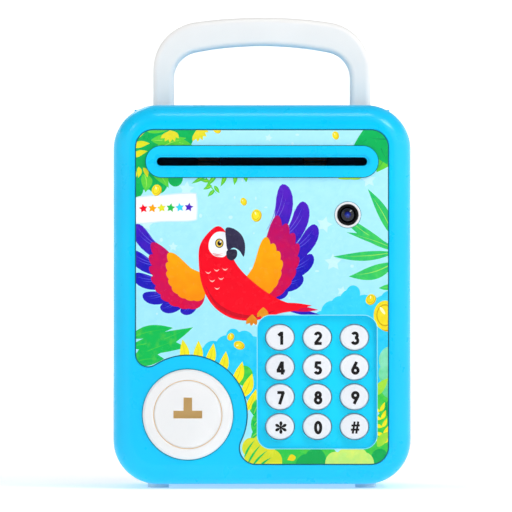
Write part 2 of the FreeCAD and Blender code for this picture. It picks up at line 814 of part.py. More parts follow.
def make_speaker():
    centre = ("speaker_side", "speaker_height")
    keep("speaker_frame", turned("speaker_frame", centre, [
        ("0", "-44"),
        ("9", "-44"),
        ("9", "-39.5"),
        ("speaker_radius - 2", "-34"),
        ("speaker_radius", "-34"),
        ("speaker_radius", "door_rear - 2.2"),
        ("speaker_radius - 2", "door_rear - 2.2"),
        ("speaker_radius - 2", "-33.2"),
        ("6", "-38.4"),
        ("0", "-38.4"),
    ]))
    keep("speaker_cone", turned("speaker_cone", centre, [
        ("0", "-36.6"),
        ("4", "-36.9"),
        ("5.5", "-37.6"),
        ("speaker_radius - 2.3", "-33.1"),
        ("speaker_radius - 2.3", "-32.8"),
        ("5.3", "-37"),
        ("3.8", "-36.3"),
        ("0", "-36"),
    ]))


# ---------------------------------------------------------------- note feeder

def make_guides():
    for level, z in (
        ("lower", ("slot_height - 3.5", "slot_height - 1.9")),
        ("upper", ("slot_height + 1.9", "slot_height + 3.5")),
    ):
        plate = block(f"guide_{level}", ("-guide_half", "guide_half"), (-48.8, "door_rear - 0.4"), z)
        windows = [
            block(
                f"guide_{level}_window_{side}", (f"{sign}roller_side - 6", f"{sign}roller_side + 6"),
                ("feed_depth - 5.2", "feed_depth + 5.2"), ("slot_height - 6", "slot_height + 6"))
            for side, sign in (("left", "-"), ("right", ""))
        ]
        keep(f"note_guide_{level}", cut(f"note_guide_{level}", plate, *windows))


def make_feeder_frame():
    y = (-48.8, -33.2)
    left = block(
        "cheek_left", ("-guide_half - 1.6", "-guide_half"), y, ("motor_height - 9", "pinch_height + 5"))
    right = block("cheek_right", ("guide_half", "guide_half + 1.6"), y, (131.7, "pinch_height + 5"))
    bar = block("cheek_bar", ("-guide_half", "guide_half"), y, (131.7, 133.3))
    stud = rod("idler_stud", "x", ("feed_depth", "idler_height"), 1.0, ("-guide_half - 9.2", "-guide_half"))
    lip = rod(
        "idler_shoulder", "x", ("feed_depth", "idler_height"), 2.0, ("-guide_half - 2.0", "-guide_half"))
    across = (-60, 60)
    bores = [
        rod("feed_bore", "x", ("feed_depth", "feed_height"), "axle_radius + 0.08", across),
        rod("pinch_bore", "x", ("feed_depth", "pinch_height"), "axle_radius + 0.08", across),
        rod("motor_bore", "x", ("feed_depth", "motor_height"), 2.0, (-60, "-guide_half")),
    ]
    plates = cut("feeder_plates", fuse("feeder_solid", left, right, bar), *bores)
    keep("feeder_frame", fuse("feeder_frame", plates, stud, lip))


def make_motor():
    axis = ("feed_depth", "motor_height")
    can = rod("motor_can", "x", axis, 9.8, ("-guide_half", "-guide_half + 28"))
    flat = block(
        "motor_flat", ("-guide_half - 1", "-guide_half + 29"), ("feed_depth - 7.7", "feed_depth + 7.7"),
        ("motor_height - 12", "motor_height + 12"))
    cap = rod("motor_end_cap", "x", axis, 4.0, ("-guide_half + 28", "-guide_half + 30"))
    bore = rod("motor_shaft_bore", "x", axis, 1.1, ("-guide_half - 1", "-guide_half + 20"))
    body = cut("motor_body", fuse("motor_solid", common("motor_shell", can, flat), cap), bore)
    keep("feed_motor", body)


def gear(name, height, teeth, module, x, bore, first_tooth):
    """A spur gear about X with straight-flanked teeth; first_tooth is the angle of one tooth from +Y."""
    pitch_radius = module * teeth / 2
    step = math.tau / teeth
    corners = []
    for index in range(teeth):
        middle = math.radians(first_tooth) + step * index
        for radius, turn in (
            (pitch_radius - 1.1 * module, -0.27),
            (pitch_radius + 0.8 * module, -0.12),
            (pitch_radius + 0.8 * module, 0.12),
            (pitch_radius - 1.1 * module, 0.27),
        ):
            angle = middle + turn * step
            corners.append(Vector(0, radius * math.cos(angle), radius * math.sin(angle)))
    face = Part.Face(Part.makePolygon(corners + corners[:1]))
    length = number(x[1]) - number(x[0])
    solid = face.extrude(Vector(length, 0, 0))
    if bore:
        solid = solid.cut(Part.makeCylinder(bore, length + 2, Vector(-1, 0, 0), Vector(1, 0, 0)))
    item = doc.addObject("Part::Feature", name)
    item.Shape = solid
    place(item, x[0], "feed_depth", height)
    return item


def make_gears():
    """Motor pinion, double idler and roller gear, one above the other on the left cheek."""
    module = 0.5
    inner, outer = ("-guide_half - 4.6", "-guide_half - 2.2"), ("-guide_half - 8.0", "-guide_half - 4.8")
    half_step = 180 / 32
    shaft = rod(
        "motor_shaft", "x", ("feed_depth", "motor_height"), 1.0, ("-guide_half - 4.8", "-guide_half + 18"))
    pinion = gear("pinion_teeth", "motor_height", 10, module, inner, None, 90)
    keep("motor_pinion", fuse("motor_pinion", shaft, pinion))
    wheel = gear("idler_wheel", "idler_height", 32, module, inner, 1.08, -90 + half_step)
    small = gear(
        "idler_small", "idler_height", 12, module, ("-guide_half - 8.0", "-guide_half - 4.6"), 1.08, 90)
    keep("idler_gear", fuse("idler_gear", wheel, small))
    bore = number("axle_radius")
    keep("feed_gear", gear("feed_gear", "feed_height", 32, module, outer, bore, -90 + half_step))


def make_rollers():
    for kind, height, radius, left in (
        ("feed", "feed_height", "feed_roller", "-guide_half - 8.4"),
        ("pinch", "pinch_height", "pinch_roller", "-guide_half - 2.4"),
    ):
        axis = ("feed_depth", height)
        keep(f"{kind}_axle", rod(f"{kind}_axle", "x", axis, "axle_radius", (left, "guide_half + 2.4")))
        rollers = []
        for side, sign in (("left", "-"), ("right", "")):
            x = (f"{sign}roller_side - roller_width/2", f"{sign}roller_side + roller_width/2")
            tyre = rod(f"{kind}_tyre_{side}", "x", axis, radius, x)
            bore = rod(f"{kind}_tyre_bore_{side}", "x", axis, "axle_radius", (f"{x[0]} - 1", f"{x[1]} + 1"))
            rollers.append(cut(f"{kind}_roller_{side}", tyre, bore))
        keep(f"{kind}_rollers", gather(f"{kind}_rollers", *rollers))


def make_note_sensor():
    span = ("slot_height + 3.5", "slot_height + 8")
    keep("note_sensor", block("note_sensor", (-4, 4), (-48.6, -43.5), span))


# ---------------------------------------------------------------- body of the case

def make_body_shell():
    outline = case_outline("body_outline", ("body_front", "body_rear"), "rear")
    cavity = case_cavity("body_cavity", "body_wall", ("body_front - 1", "body_rear - body_wall"), "rear")
    rail_block = block(
        "body_rail_block", (f"{HALF} - rail_width", HALF), ("body_front", "body_front + rail_thick"),
        ("0", "case_height"))
    rail = common("body_rail", outline, rail_block)
    rabbet = block(
        "body_rabbet", (f"{HALF} - hinge_offset - rabbet_inset", f"{HALF} + 1"),
        ("body_front - 1", "hinge_depth + rabbet_depth"), ("rabbet_low", "rabbet_high"))
    frame = cut("body_frame", fuse("body_sides", cut("body_walls", outline, cavity), rail), rabbet)

    wall = "body_wall"
    well_block = block(
        "well_outside", (f"-well_half - {wall}", f"well_half + {wall}"),
        (f"well_front - {wall}", f"well_rear + {wall}"), (f"well_floor - {wall}", "case_height"))
    added = [common("well_outer", outline, well_block)]
    added.append(block(
        "strike", (f"-{HALF} + 1", f"-{HALF} + 8.4"), (-27.4, -25), ("lock_height - 7", "lock_height + 7")))
    for side, sign in (("left", "-"), ("right", "")):
        span = sorted((f"{sign}(well_half + 0.2)", f"{sign}(well_half + 6.5)"), key=number)
        added.append(rod(f"pivot_boss_{side}", "x", ("pivot_depth", "pivot_height"), 5, span))
    for place_name, base in HINGE_BASES.items():
        for part, low in (("low", base), ("high", base + BODY_KNUCKLE + DOOR_KNUCKLE)):
            added.append(knuckle(
                f"body_knuckle_{place_name}_{part}", low, low + BODY_KNUCKLE,
                "hinge_depth + rabbet_depth + 0.4"))
    solid = fuse("body_solid", frame, *added)

    holes = [
        rounded_block(
            "well_inside", ("-well_half", "well_half"), ("well_front", "well_rear"),
            ("well_floor", "case_height + 5"), "z", "5"),
        block("coin_slot", (-15, 15), (10, 13.6), ("well_floor - 5", "well_floor + 1")),
        pin_bore("body_pin_bore", "pin_radius"),
    ]
    for name, x, y in foot_spots():
        holes.append(rod(f"{name}_seat", "z", (x, y), "foot_radius + 0.1", (-1, "foot_sink")))
    shell = cut("body_opened", solid, *holes)
    spacers = []
    for side, sign in (("left", "-"), ("right", "")):
        span = sorted((f"{sign}(grip_half + 0.4)", f"{sign}(well_half + 0.3)"), key=number)
        spacers.append(rod(f"pivot_spacer_{side}", "x", ("pivot_depth", "pivot_height"), 4.5, span))
    bores = []
    for side, sign in (("left", "-"), ("right", "")):
        span = sorted((f"{sign}(grip_half - 1)", f"{sign}(well_half + 5.6)"), key=number)
        bores.append(rod(f"pivot_bore_{side}", "x", ("pivot_depth", "pivot_height"), "pivot_radius", span))
    keep("body_shell", cut("body_shell", fuse("body_with_spacers", shell, *spacers), *bores))


def foot_spots():
    for depth_name, y in (("front", "foot_front"), ("rear", "foot_back")):
        for side, sign in (("left", "-"), ("right", "")):
            yield f"foot_{depth_name}_{side}", f"{sign}foot_spread", y


def make_feet():
    for name, x, y in foot_spots():
        keep(name, rod(name, "z", (x, y), "foot_radius", ("-foot_height", "foot_sink")))


def make_hinge_pins():
    axis = (f"{HALF} - hinge_offset", "hinge_depth")
    for place_name, base in HINGE_BASES.items():
        top = base + 2 * BODY_KNUCKLE + DOOR_KNUCKLE
        pin = f"hinge_pin_{place_name}"
        keep(pin, rod(pin, "z", axis, "pin_radius", (base - 0.4, top + 0.4)))


def arched_slab(name, half, bottom, top, corner, arch, y):
    """The plate inside or outside of the grip: straight legs, round shoulders and a gently arched top."""
    slab = block(name + "_slab", (f"-({half})", half), y, (bottom, f"{top} + 1"))
    disc = rod(name + "_disc", "y", ("0", f"{top} - {arch}"), arch, y)
    plate = common(name + "_plate", slab, disc)
    shoulder = number(half)
    return soften(name, plate, corner, lambda box: (
        box.YLength > 1 and box.XLength < 0.01 and abs(abs(box.XMin) - shoulder) < 0.01
        and box.ZMin > number(top) - 20))


def make_handle():
    front, rear = "pivot_depth - grip_thick/2", "pivot_depth + grip_thick/2"
    outer = arched_slab(
        "grip_outer", "grip_half", "pivot_height", "grip_top", "grip_outer_corner", "grip_outer_arch",
        (front, rear))
    inner = arched_slab(
        "grip_inner", "grip_half - grip_leg", "pivot_height - 8", "grip_inner_top", "grip_inner_corner",
        "grip_inner_arch", (f"{front} - 1", f"{rear} + 1"))
    loop = cut("grip_loop", outer, inner)
    pivot_level = number("pivot_height + foot_height")
    softened = soften(
        "grip_soft", loop, "grip_edge", lambda box: box.YLength < 0.01 and box.ZMax > pivot_level + 1)
    eyes = []
    bores = []
    pins = []
    for side, sign in (("left", "-"), ("right", "")):
        span = sorted((f"{sign}(grip_half - grip_leg)", f"{sign}grip_half"), key=number)
        axis = ("pivot_depth", "pivot_height")
        eyes.append(rod(f"grip_eye_{side}", "x", axis, 5.5, span))
        wide = (f"{span[0]} - 1", f"{span[1]} + 1")
        bores.append(rod(f"grip_bore_{side}", "x", axis, "pivot_radius + 0.06", wide))
        reach = sorted((f"{sign}(grip_half - 8)", f"{sign}(well_half + 5.5)"), key=number)
        pins.append(rod(f"grip_pin_{side}", "x", axis, "pivot_radius", reach))
    keep("carry_handle", cut("carry_handle", fuse("grip_solid", softened, *eyes), *bores))
    keep("handle_pins", gather("handle_pins", *pins))


# ---------------------------------------------------------------- building and checking

def make_everything():
    make_door_shell()
    make_label_panel()
    make_slot_bezel()
    make_buttons()
    make_keypad_parts()
    make_main_board()
    make_camera()
    make_lock()
    make_solenoid()
    make_back_cover()
    make_cover_screws()
    make_batteries()
    make_battery_cover()
    make_speaker()
    make_guides()
    make_feeder_frame()
    make_motor()
    make_gears()
    make_rollers()
    make_note_sensor()
    make_body_shell()
    make_feet()
    make_hinge_pins()
    make_handle()


def check_document():
    """Stop if any object failed to recompute or a sub-part's shape is missing or broken."""
    for item in doc.Objects:
        if "Invalid" in item.State or "Error" in item.State:
            raise RuntimeError(f"{item.Name} did not recompute: {item.State}")
    for item in pieces:
        if item.Shape.isNull() or not item.Shape.isValid() or not item.Shape.Solids:
            raise RuntimeError(f"{item.Label} has no valid solid")


def write_parts():
    os.makedirs("parts", exist_ok=True)
    for item in pieces:
        item.Shape.exportStep(f"parts/{item.Label}.step")


make_everything()
doc.recompute()
check_document()
write_parts()
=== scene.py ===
"""Looks of the toy cash-machine money box: moulded plastic, a printed jungle panel and printed keys.

The CAD nodes keep their shapes and get procedural materials. The picture panel and the key legends are
flat closed sheets cut from outlines that are worked out here, in millimetres on the panel.
"""

import math
import random

import bmesh
import bpy
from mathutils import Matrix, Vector
from mathutils.geometry import delaunay_2d_cdt


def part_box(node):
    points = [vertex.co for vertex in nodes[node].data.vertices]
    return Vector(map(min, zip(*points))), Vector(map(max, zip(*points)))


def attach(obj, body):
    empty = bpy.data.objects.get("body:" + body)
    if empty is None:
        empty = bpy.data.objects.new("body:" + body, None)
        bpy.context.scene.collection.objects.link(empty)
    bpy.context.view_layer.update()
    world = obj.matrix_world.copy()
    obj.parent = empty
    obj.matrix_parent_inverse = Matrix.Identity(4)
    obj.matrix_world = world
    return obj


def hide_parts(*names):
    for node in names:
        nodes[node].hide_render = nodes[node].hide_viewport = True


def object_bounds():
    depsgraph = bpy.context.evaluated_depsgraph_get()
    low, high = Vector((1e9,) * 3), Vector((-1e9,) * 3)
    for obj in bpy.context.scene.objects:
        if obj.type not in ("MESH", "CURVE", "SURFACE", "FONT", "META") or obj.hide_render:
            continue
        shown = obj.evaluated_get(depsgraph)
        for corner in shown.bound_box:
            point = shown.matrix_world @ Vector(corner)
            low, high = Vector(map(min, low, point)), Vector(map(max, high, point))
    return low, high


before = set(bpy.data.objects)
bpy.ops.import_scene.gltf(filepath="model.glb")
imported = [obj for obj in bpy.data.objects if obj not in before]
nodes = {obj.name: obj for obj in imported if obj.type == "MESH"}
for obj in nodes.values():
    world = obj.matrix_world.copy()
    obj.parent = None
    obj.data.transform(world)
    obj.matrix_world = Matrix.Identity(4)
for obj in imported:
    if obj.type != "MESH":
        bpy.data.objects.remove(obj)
cad_low, cad_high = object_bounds()
scene = bpy.context.scene
MM = 0.001
KEYS = ["1", "2", "3", "4", "5", "6", "7", "8", "9", "star", "0", "hash"]


# ---------------------------------------------------------------- materials

def grey(value):
    """Scene-linear RGBA of one level."""
    return (value, value, value, 1.0)


def linear(colour):
    """Scene-linear RGBA from display red, green and blue of 0 to 255."""
    parts = []
    for value in colour:
        value = value / 255
        parts.append(value / 12.92 if value <= 0.04045 else ((value + 0.055) / 1.055) ** 2.4)
    return (*parts, 1.0)


class Recipe:
    """A material's node tree, with short ways to add the nodes that this scene uses."""

    def __init__(self, name):
        self.material = bpy.data.materials.new(name)
        self.material.use_nodes = True
        self.tree = self.material.node_tree
        self.shader = self.tree.nodes["Principled BSDF"]
        self.place = self.add("ShaderNodeTexCoord").outputs["Object"]

    def add(self, kind, **values):
        node = self.tree.nodes.new(kind)
        for field, value in values.items():
            setattr(node, field, value)
        return node

    def link(self, source, target):
        self.tree.links.new(source, target)

    def set(self, **values):
        for name, value in values.items():
            self.shader.inputs[name.replace("_", " ")].default_value = value

    def noise(self, scale, detail=3.0, stretch=None):
        """Noise fixed to the object, or stretched along its axes."""
        node = self.add("ShaderNodeTexNoise")
        node.inputs["Scale"].default_value = scale
        node.inputs["Detail"].default_value = detail
        if stretch:
            mapping = self.add("ShaderNodeMapping")
            mapping.inputs["Scale"].default_value = stretch
            self.link(self.place, mapping.inputs["Vector"])
            self.link(mapping.outputs["Vector"], node.inputs["Vector"])
        else:
            self.link(self.place, node.inputs["Vector"])
        return node.outputs["Fac"]

    def spread(self, source, low, high, out_low=0.0, out_high=1.0):
        """A value stretched from one range to another and held inside it."""
        node = self.add("ShaderNodeMapRange")
        for field, value in (
            ("From Min", low), ("From Max", high), ("To Min", out_low), ("To Max", out_high),
        ):
            node.inputs[field].default_value = value
        self.link(source, node.inputs["Value"])
        return node.outputs["Result"]

    def math(self, operation, *values):
        node = self.add("ShaderNodeMath", operation=operation)
        for socket, value in zip(node.inputs, values):
            if isinstance(value, (int, float)):
                socket.default_value = value
            else:
                self.link(value, socket)
        return node.outputs["Value"]

    def blend(self, amount, first, second):
        """First colour at amount 0, second at 1; each a colour or another node's output."""
        node = self.add("ShaderNodeMix", data_type="RGBA")
        self.link(amount, node.inputs["Factor"])
        for name, value in (("A", first), ("B", second)):
            socket = [item for item in node.inputs if item.name == name and item.type == "RGBA"][0]
            if isinstance(value, tuple):
                socket.default_value = value
            else:
                self.link(value, socket)
        return [item for item in node.outputs if item.type == "RGBA"][0]

    def axis(self, name):
        node = self.add("ShaderNodeSeparateXYZ")
        self.link(self.place, node.inputs["Vector"])
        return node.outputs[name]

    def inside(self, low, high):
        """1 inside a box given by two corners, 0 outside."""
        held = 1.0
        for index, name in enumerate("XYZ"):
            middle, half = (low[index] + high[index]) / 2, (high[index] - low[index]) / 2
            held = self.math("MULTIPLY", held, self.math("COMPARE", self.axis(name), middle, half))
        return held

    def bump(self, height, strength, distance):
        node = self.add("ShaderNodeBump")
        node.inputs["Strength"].default_value = strength
        node.inputs["Distance"].default_value = distance
        self.link(height, node.inputs["Height"])
        self.link(node.outputs["Normal"], self.shader.inputs["Normal"])


def moulded(name, colour, deep, roughness=0.34, grain=300.0, grain_depth=0.02, coat=0.0, shine=0.5):
    """Injection-moulded plastic: faint flow marks, a slight orange-peel skin and uneven gloss."""
    recipe = Recipe(name)
    flow = recipe.spread(recipe.noise(28.0, 4.0), 0.35, 0.65)
    recipe.link(recipe.blend(flow, linear(colour), linear(deep)), recipe.shader.inputs["Base Color"])
    sheen = recipe.spread(recipe.noise(140.0, 3.0), 0.3, 0.7, roughness - 0.05, roughness + 0.06)
    recipe.link(sheen, recipe.shader.inputs["Roughness"])
    recipe.bump(recipe.noise(grain, 2.0), grain_depth, 0.0001)
    recipe.set(Coat_Weight=coat, Coat_Roughness=0.12, IOR=1.5, Specular_IOR_Level=shine)
    return recipe.material


def case_plastic():
    """The case's blue, with the floor of the key tray painted a little paler as painted light."""
    recipe = Recipe("case_plastic")
    first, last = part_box("button_star")[0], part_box("button_3")[1]
    spare, shallow, deep = 3.6 * MM, 2.2 * MM, 3.2 * MM
    tray = recipe.inside(
        (first.x - spare, first.y + shallow, first.z - spare),
        (last.x + spare, first.y + deep, last.z + spare))
    flow = recipe.spread(recipe.noise(28.0, 4.0), 0.35, 0.65)
    body = recipe.blend(flow, linear((0, 204, 255)), linear((0, 199, 254)))
    # painted light: the key tray's floor gets a paler blue than the rest of the same moulding
    recipe.link(recipe.blend(tray, body, linear((8, 218, 255))), recipe.shader.inputs["Base Color"])
    sheen = recipe.spread(recipe.noise(140.0), 0.3, 0.7, 0.26, 0.36)
    recipe.link(sheen, recipe.shader.inputs["Roughness"])
    recipe.bump(recipe.noise(240.0, 2.0), 0.02, 0.0001)
    recipe.set(Specular_IOR_Level=0.2, Coat_Weight=0.25, Coat_Roughness=0.14)
    return recipe.material


def metal(name, colour, worn, roughness, stretch=(1.0, 1.0, 1.0)):
    """Plated metal: drawn or rolled lines along one axis and slightly dull patches."""
    recipe = Recipe(name)
    lines = recipe.noise(900.0, 3.0, stretch)
    patches = recipe.spread(recipe.noise(90.0, 3.0), 0.4, 0.7)
    recipe.link(recipe.blend(patches, linear(colour), linear(worn)), recipe.shader.inputs["Base Color"])
    sheen = recipe.spread(lines, 0.3, 0.7, roughness - 0.08, roughness + 0.1)
    recipe.link(sheen, recipe.shader.inputs["Roughness"])
    recipe.bump(lines, 0.08, 0.00004)
    recipe.set(Metallic=1.0)
    return recipe.material


def rubber(name, colour, dusty):
    """Matt rubber or silicone with a dusty bloom."""
    recipe = Recipe(name)
    bloom = recipe.spread(recipe.noise(220.0, 5.0), 0.4, 0.75)
    recipe.link(recipe.blend(bloom, linear(colour), linear(dusty)), recipe.shader.inputs["Base Color"])
    recipe.bump(recipe.noise(1800.0, 3.0), 0.15, 0.0001)
    recipe.set(Roughness=0.78)
    return recipe.material


def solder_mask(name):
    """Circuit board: green mask over faint copper tracks."""
    recipe = Recipe(name)
    weave = recipe.add("ShaderNodeTexBrick")
    recipe.link(recipe.place, weave.inputs["Vector"])
    weave.inputs["Scale"].default_value = 420.0
    weave.inputs["Mortar Size"].default_value = 0.03
    tracks = weave.outputs["Fac"]
    mask = recipe.blend(tracks, linear((12, 92, 48)), linear((34, 128, 70)))
    recipe.link(mask, recipe.shader.inputs["Base Color"])
    recipe.bump(tracks, 0.2, 0.00005)
    recipe.set(Roughness=0.35)
    return recipe.material


def lock_plastic(name, node):
    """Warm white plastic whose recess and hidden side, deeper than the front face, are straw coloured; the
    straw is painted darker deeper in as painted shade and glows faintly as painted light.
    """
    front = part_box(node)[0].y
    recipe = Recipe(name)
    flow = recipe.spread(recipe.noise(30.0, 4.0), 0.35, 0.65)
    face = recipe.blend(flow, linear((246, 246, 247)), linear((238, 238, 239)))
    depth = recipe.axis("Y")
    # painted shade: the straw darkens from 1.5 mm to 7 mm behind the front face
    straw_painted_shade = recipe.spread(depth, front + 1.5 * MM, front + 7 * MM)
    straw = recipe.blend(straw_painted_shade, linear((214, 190, 142)), linear((186, 162, 112)))
    is_deep = recipe.spread(depth, front + 0.85 * MM, front + 1.1 * MM)
    recipe.link(recipe.blend(is_deep, face, straw), recipe.shader.inputs["Base Color"])
    # painted light: the straw glows faintly to lighten the recess that lies in shade
    recipe.link(recipe.blend(is_deep, linear((0, 0, 0)), straw), recipe.shader.inputs["Emission Color"])
    recipe.set(Emission_Strength=0.42)
    recipe.link(recipe.spread(recipe.noise(150.0), 0.3, 0.7, 0.28, 0.38), recipe.shader.inputs["Roughness"])
    recipe.bump(recipe.noise(2200.0, 2.0), 0.03, 0.00005)
    return recipe.material


def lens_glass(name):
    """Coated toy lens: black outside and a blue middle, with a thin bright ring and the palest blue at the
    centre as painted highlights.
    """
    low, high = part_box("camera_lens")
    centre = (low + high) / 2
    recipe = Recipe(name)
    shift = recipe.add("ShaderNodeMapping")
    shift.inputs["Location"].default_value = (-centre.x, 0, -centre.z)
    shift.inputs["Scale"].default_value = (1, 0, 1)
    recipe.link(recipe.place, shift.inputs["Vector"])
    length = recipe.add("ShaderNodeVectorMath", operation="LENGTH")
    recipe.link(shift.outputs["Vector"], length.inputs[0])
    ramp = recipe.add("ShaderNodeValToRGB")
    radius = high.x - centre.x
    # painted highlights: the pale blue at the centre and the pale grey ring near the edge
    stops = (
        (0.0, (84, 110, 206)), (0.14, (36, 52, 156)), (0.34, (20, 28, 112)), (0.46, (8, 10, 36)),
        (0.7, (9, 10, 18)), (0.8, (56, 62, 80)), (0.88, (12, 13, 18)), (1.0, (6, 6, 9)),
    )
    while len(ramp.color_ramp.elements) < len(stops):
        ramp.color_ramp.elements.new(0.5)
    for element, (position, colour) in zip(ramp.color_ramp.elements, stops):
        element.position = position
        element.color = linear(colour)
    recipe.link(recipe.spread(length.outputs["Value"], 0, radius), ramp.inputs["Fac"])
    recipe.link(ramp.outputs["Color"], recipe.shader.inputs["Base Color"])
    recipe.set(Roughness=0.12, Specular_IOR_Level=0.35, Coat_Weight=0.3, Coat_Roughness=0.04)
    return recipe.material


def ink(name, first, second, along=(0.0, 1.0), start=0.0, end=150.0, mottle=0.35):
    """Printed ink that runs from one colour to another across the panel, with an airbrushed grain."""
    recipe = Recipe("ink_" + name)
    across = recipe.math("MULTIPLY", recipe.math("SUBTRACT", recipe.axis("X"), PANEL_LEFT), along[0])
    up = recipe.math("MULTIPLY", recipe.math("SUBTRACT", recipe.axis("Z"), PANEL_FOOT), along[1])
    run = recipe.spread(recipe.math("ADD", across, up), start * MM, end * MM)
    cloud = recipe.spread(recipe.noise(260.0, 5.0), 0.3, 0.7, -mottle, mottle)
    grain = recipe.spread(recipe.noise(4200.0, 2.0), 0.3, 0.7, -0.12, 0.12)
    amount = recipe.math("ADD", run, recipe.math("ADD", cloud, grain))
    held = recipe.spread(amount, 0.0, 1.0)
    recipe.link(recipe.blend(held, linear(first), linear(second)), recipe.shader.inputs["Base Color"])
    recipe.link(recipe.spread(recipe.noise(300.0), 0.3, 0.7, 0.2, 0.3), recipe.shader.inputs["Roughness"])
    recipe.bump(recipe.noise(5000.0, 2.0), 0.02, 0.00003)
    recipe.set(Specular_IOR_Level=0.22, Coat_Weight=0.08, Coat_Roughness=0.1)
    return recipe.material


# ---------------------------------------------------------------- outlines, in millimetres on the panel

panel_low, panel_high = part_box("label_panel")
PANEL_LEFT = (panel_low.x + panel_high.x) / 2
PANEL_FOOT = panel_low.z


def panel_point(x, z):
    """Millimetres right of the panel's middle line and above its foot, from a place in the frame."""
    return (x - PANEL_LEFT) / MM, (z - PANEL_FOOT) / MM


def front_loops(node):
    """Outlines of the node's front face on the panel, the longest first."""
    mesh = nodes[node].data
    front_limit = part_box(node)[0].y + 0.01 * MM
    spots = {}
    used = {}
    for polygon in mesh.polygons:
        corners = [mesh.vertices[index].co for index in polygon.vertices]
        if max(corner.y for corner in corners) > front_limit:
            continue
        names = []
        for corner in corners:
            key = (round(corner.x, 7), round(corner.z, 7))
            spots[key] = panel_point(corner.x, corner.z)
            names.append(key)
        for first, second in zip(names, names[1:] + names[:1]):
            edge = frozenset((first, second))
            used[edge] = used.get(edge, 0) + 1
    beside = {}
    for edge, count in used.items():
        if count == 1 and len(edge) == 2:
            first, second = edge
            beside.setdefault(first, []).append(second)
            beside.setdefault(second, []).append(first)
    loops = []
    while beside:
        start = next(iter(sorted(beside)))
        loop = [start]
        previous, current = None, start
        while True:
            following = [name for name in beside[current] if name != previous]
            if not following or following[0] == start:
                break
            previous, current = current, following[0]
            loop.append(current)
        for name in loop:
            beside.pop(name)
        loops.append([spots[name] for name in loop])
    return sorted(loops, key=outline_length, reverse=True)


def outline_length(points):
    """The way round a closed outline."""
    return sum(math.dist(a, b) for a, b in zip(points, points[1:] + points[:1]))


def signed_area(points):
    """A closed outline's area, positive when it runs anticlockwise."""
    return sum(a[0] * b[1] - b[0] * a[1] for a, b in zip(points, points[1:] + points[:1])) / 2


def inset(points, distance):
    """The outline moved inwards by a distance."""
    turn = 1 if signed_area(points) > 0 else -1
    moved = []
    count = len(points)
    for index, point in enumerate(points):
        before, after = points[index - 1], points[(index + 1) % count]
        run = Vector((after[0] - before[0], after[1] - before[1])).normalized()
        moved.append((point[0] - turn * run.y * distance, point[1] + turn * run.x * distance))
    return moved


def smooth(points, steps=6):
    """A closed curve that passes smoothly through the points."""
    curve = []
    count = len(points)
    for index in range(count):
        a, b, c, d = (Vector(points[(index + shift) % count]) for shift in (-1, 0, 1, 2))
        for step in range(steps):
            t = step / steps
            spot = 0.5 * (2 * b + (c - a) * t + (2 * a - 5 * b + 4 * c - d) * t ** 2
                          + (3 * b - a - 3 * c + d) * t ** 3)
            curve.append((spot.x, spot.y))
    return curve


def ellipse(centre, wide, tall, tilt=0.0, count=28):
    """A closed ellipse from its half width and half height."""
    turn = math.radians(tilt)
    points = []
    for index in range(count):
        angle = math.tau * index / count
        x, y = wide * math.cos(angle), tall * math.sin(angle)
        points.append((
            centre[0] + x * math.cos(turn) - y * math.sin(turn),
            centre[1] + x * math.sin(turn) + y * math.cos(turn),
        ))
    return points


def blade(base, tip, width, bend=0.0, peak=0.4, blunt=1.0, foot=0.0, count=12):
    """A leaf or feather from base to tip; bend pushes its middle to the left of its run.

    It is widest at peak of its length, blunt below 1 rounds its end, and foot is its width at the base.
    """
    base, tip = Vector(base), Vector(tip)
    run = tip - base
    side = Vector((-run.y, run.x)).normalized()
    warp = math.log(0.5) / math.log(peak)
    left, right = [], []
    for index in range(count + 1):
        t = index / count if peak < 0.7 else math.sin(math.pi / 2 * index / count)
        middle = base + run * t + side * bend * 4 * t * (1 - t)
        half = width / 2 * max(math.sin(math.pi * t ** warp), 0.0) ** blunt
        if t < peak:
            half = max(half, foot / 2)
        left.append(middle + side * half)
        right.append(middle - side * half)
    outline = left + right[-2::-1] if foot else left + right[-2:0:-1]
    return [(point.x, point.y) for point in outline]


def polar(centre, angle, length):
    """The point at an angle in degrees and a distance from a centre."""
    turn = math.radians(angle)
    return centre[0] + length * math.cos(turn), centre[1] + length * math.sin(turn)


def star(centre, size, tilt=0.0):
    """A five-pointed star."""
    return [
        polar(centre, 90 + tilt + 36 * index, size if index % 2 == 0 else size * 0.5)
        for index in range(10)
    ]


# ---------------------------------------------------------------- the picture

class Picture:
    """Coloured outlines in painting order: a later one covers an earlier one."""

    def __init__(self):
        self.shapes = []

    def paint(self, colour, *outlines):
        for outline in outlines:
            self.shapes.append((colour, outline))

    def leaf(self, colour, vein, base, tip, width, bend=0.0, peak=0.4):
        """A leaf with a pale midrib."""
        self.paint(colour, blade(base, tip, width, bend, peak))
        start, end = Vector(base).lerp(Vector(tip), 0.06), Vector(base).lerp(Vector(tip), 0.86)
        self.paint(vein, blade(start, end, max(width * 0.07, 0.22), bend * 0.8, 0.3))

    def coin(self, centre, size, tilt=0.0, thin=0.78):
        """A plain coin seen at a slant: edge, face and a raised rim line."""
        below = (centre[0] + size * 0.16, centre[1] - size * 0.12)
        self.paint("coin_edge", ellipse(below, size * thin, size, tilt))
        self.paint("coin_face", ellipse(centre, size * thin, size, tilt))
        self.paint("coin_line", ellipse(centre, size * thin * 0.76, size * 0.76, tilt))
        self.paint("coin_face", ellipse(centre, size * thin * 0.66, size * 0.66, tilt))
        shine = polar(centre, 120 + tilt, size * 0.36)
        self.paint("coin_shine", ellipse(shine, size * 0.1, size * 0.3, tilt + 35, 14))

    def bush(self, colour, spots):
        """A clump of round shapes, each given by its centre and size."""
        for x, y, size in spots:
            self.paint(colour, ellipse((x, y), size, size * 1.15, 0, 24))


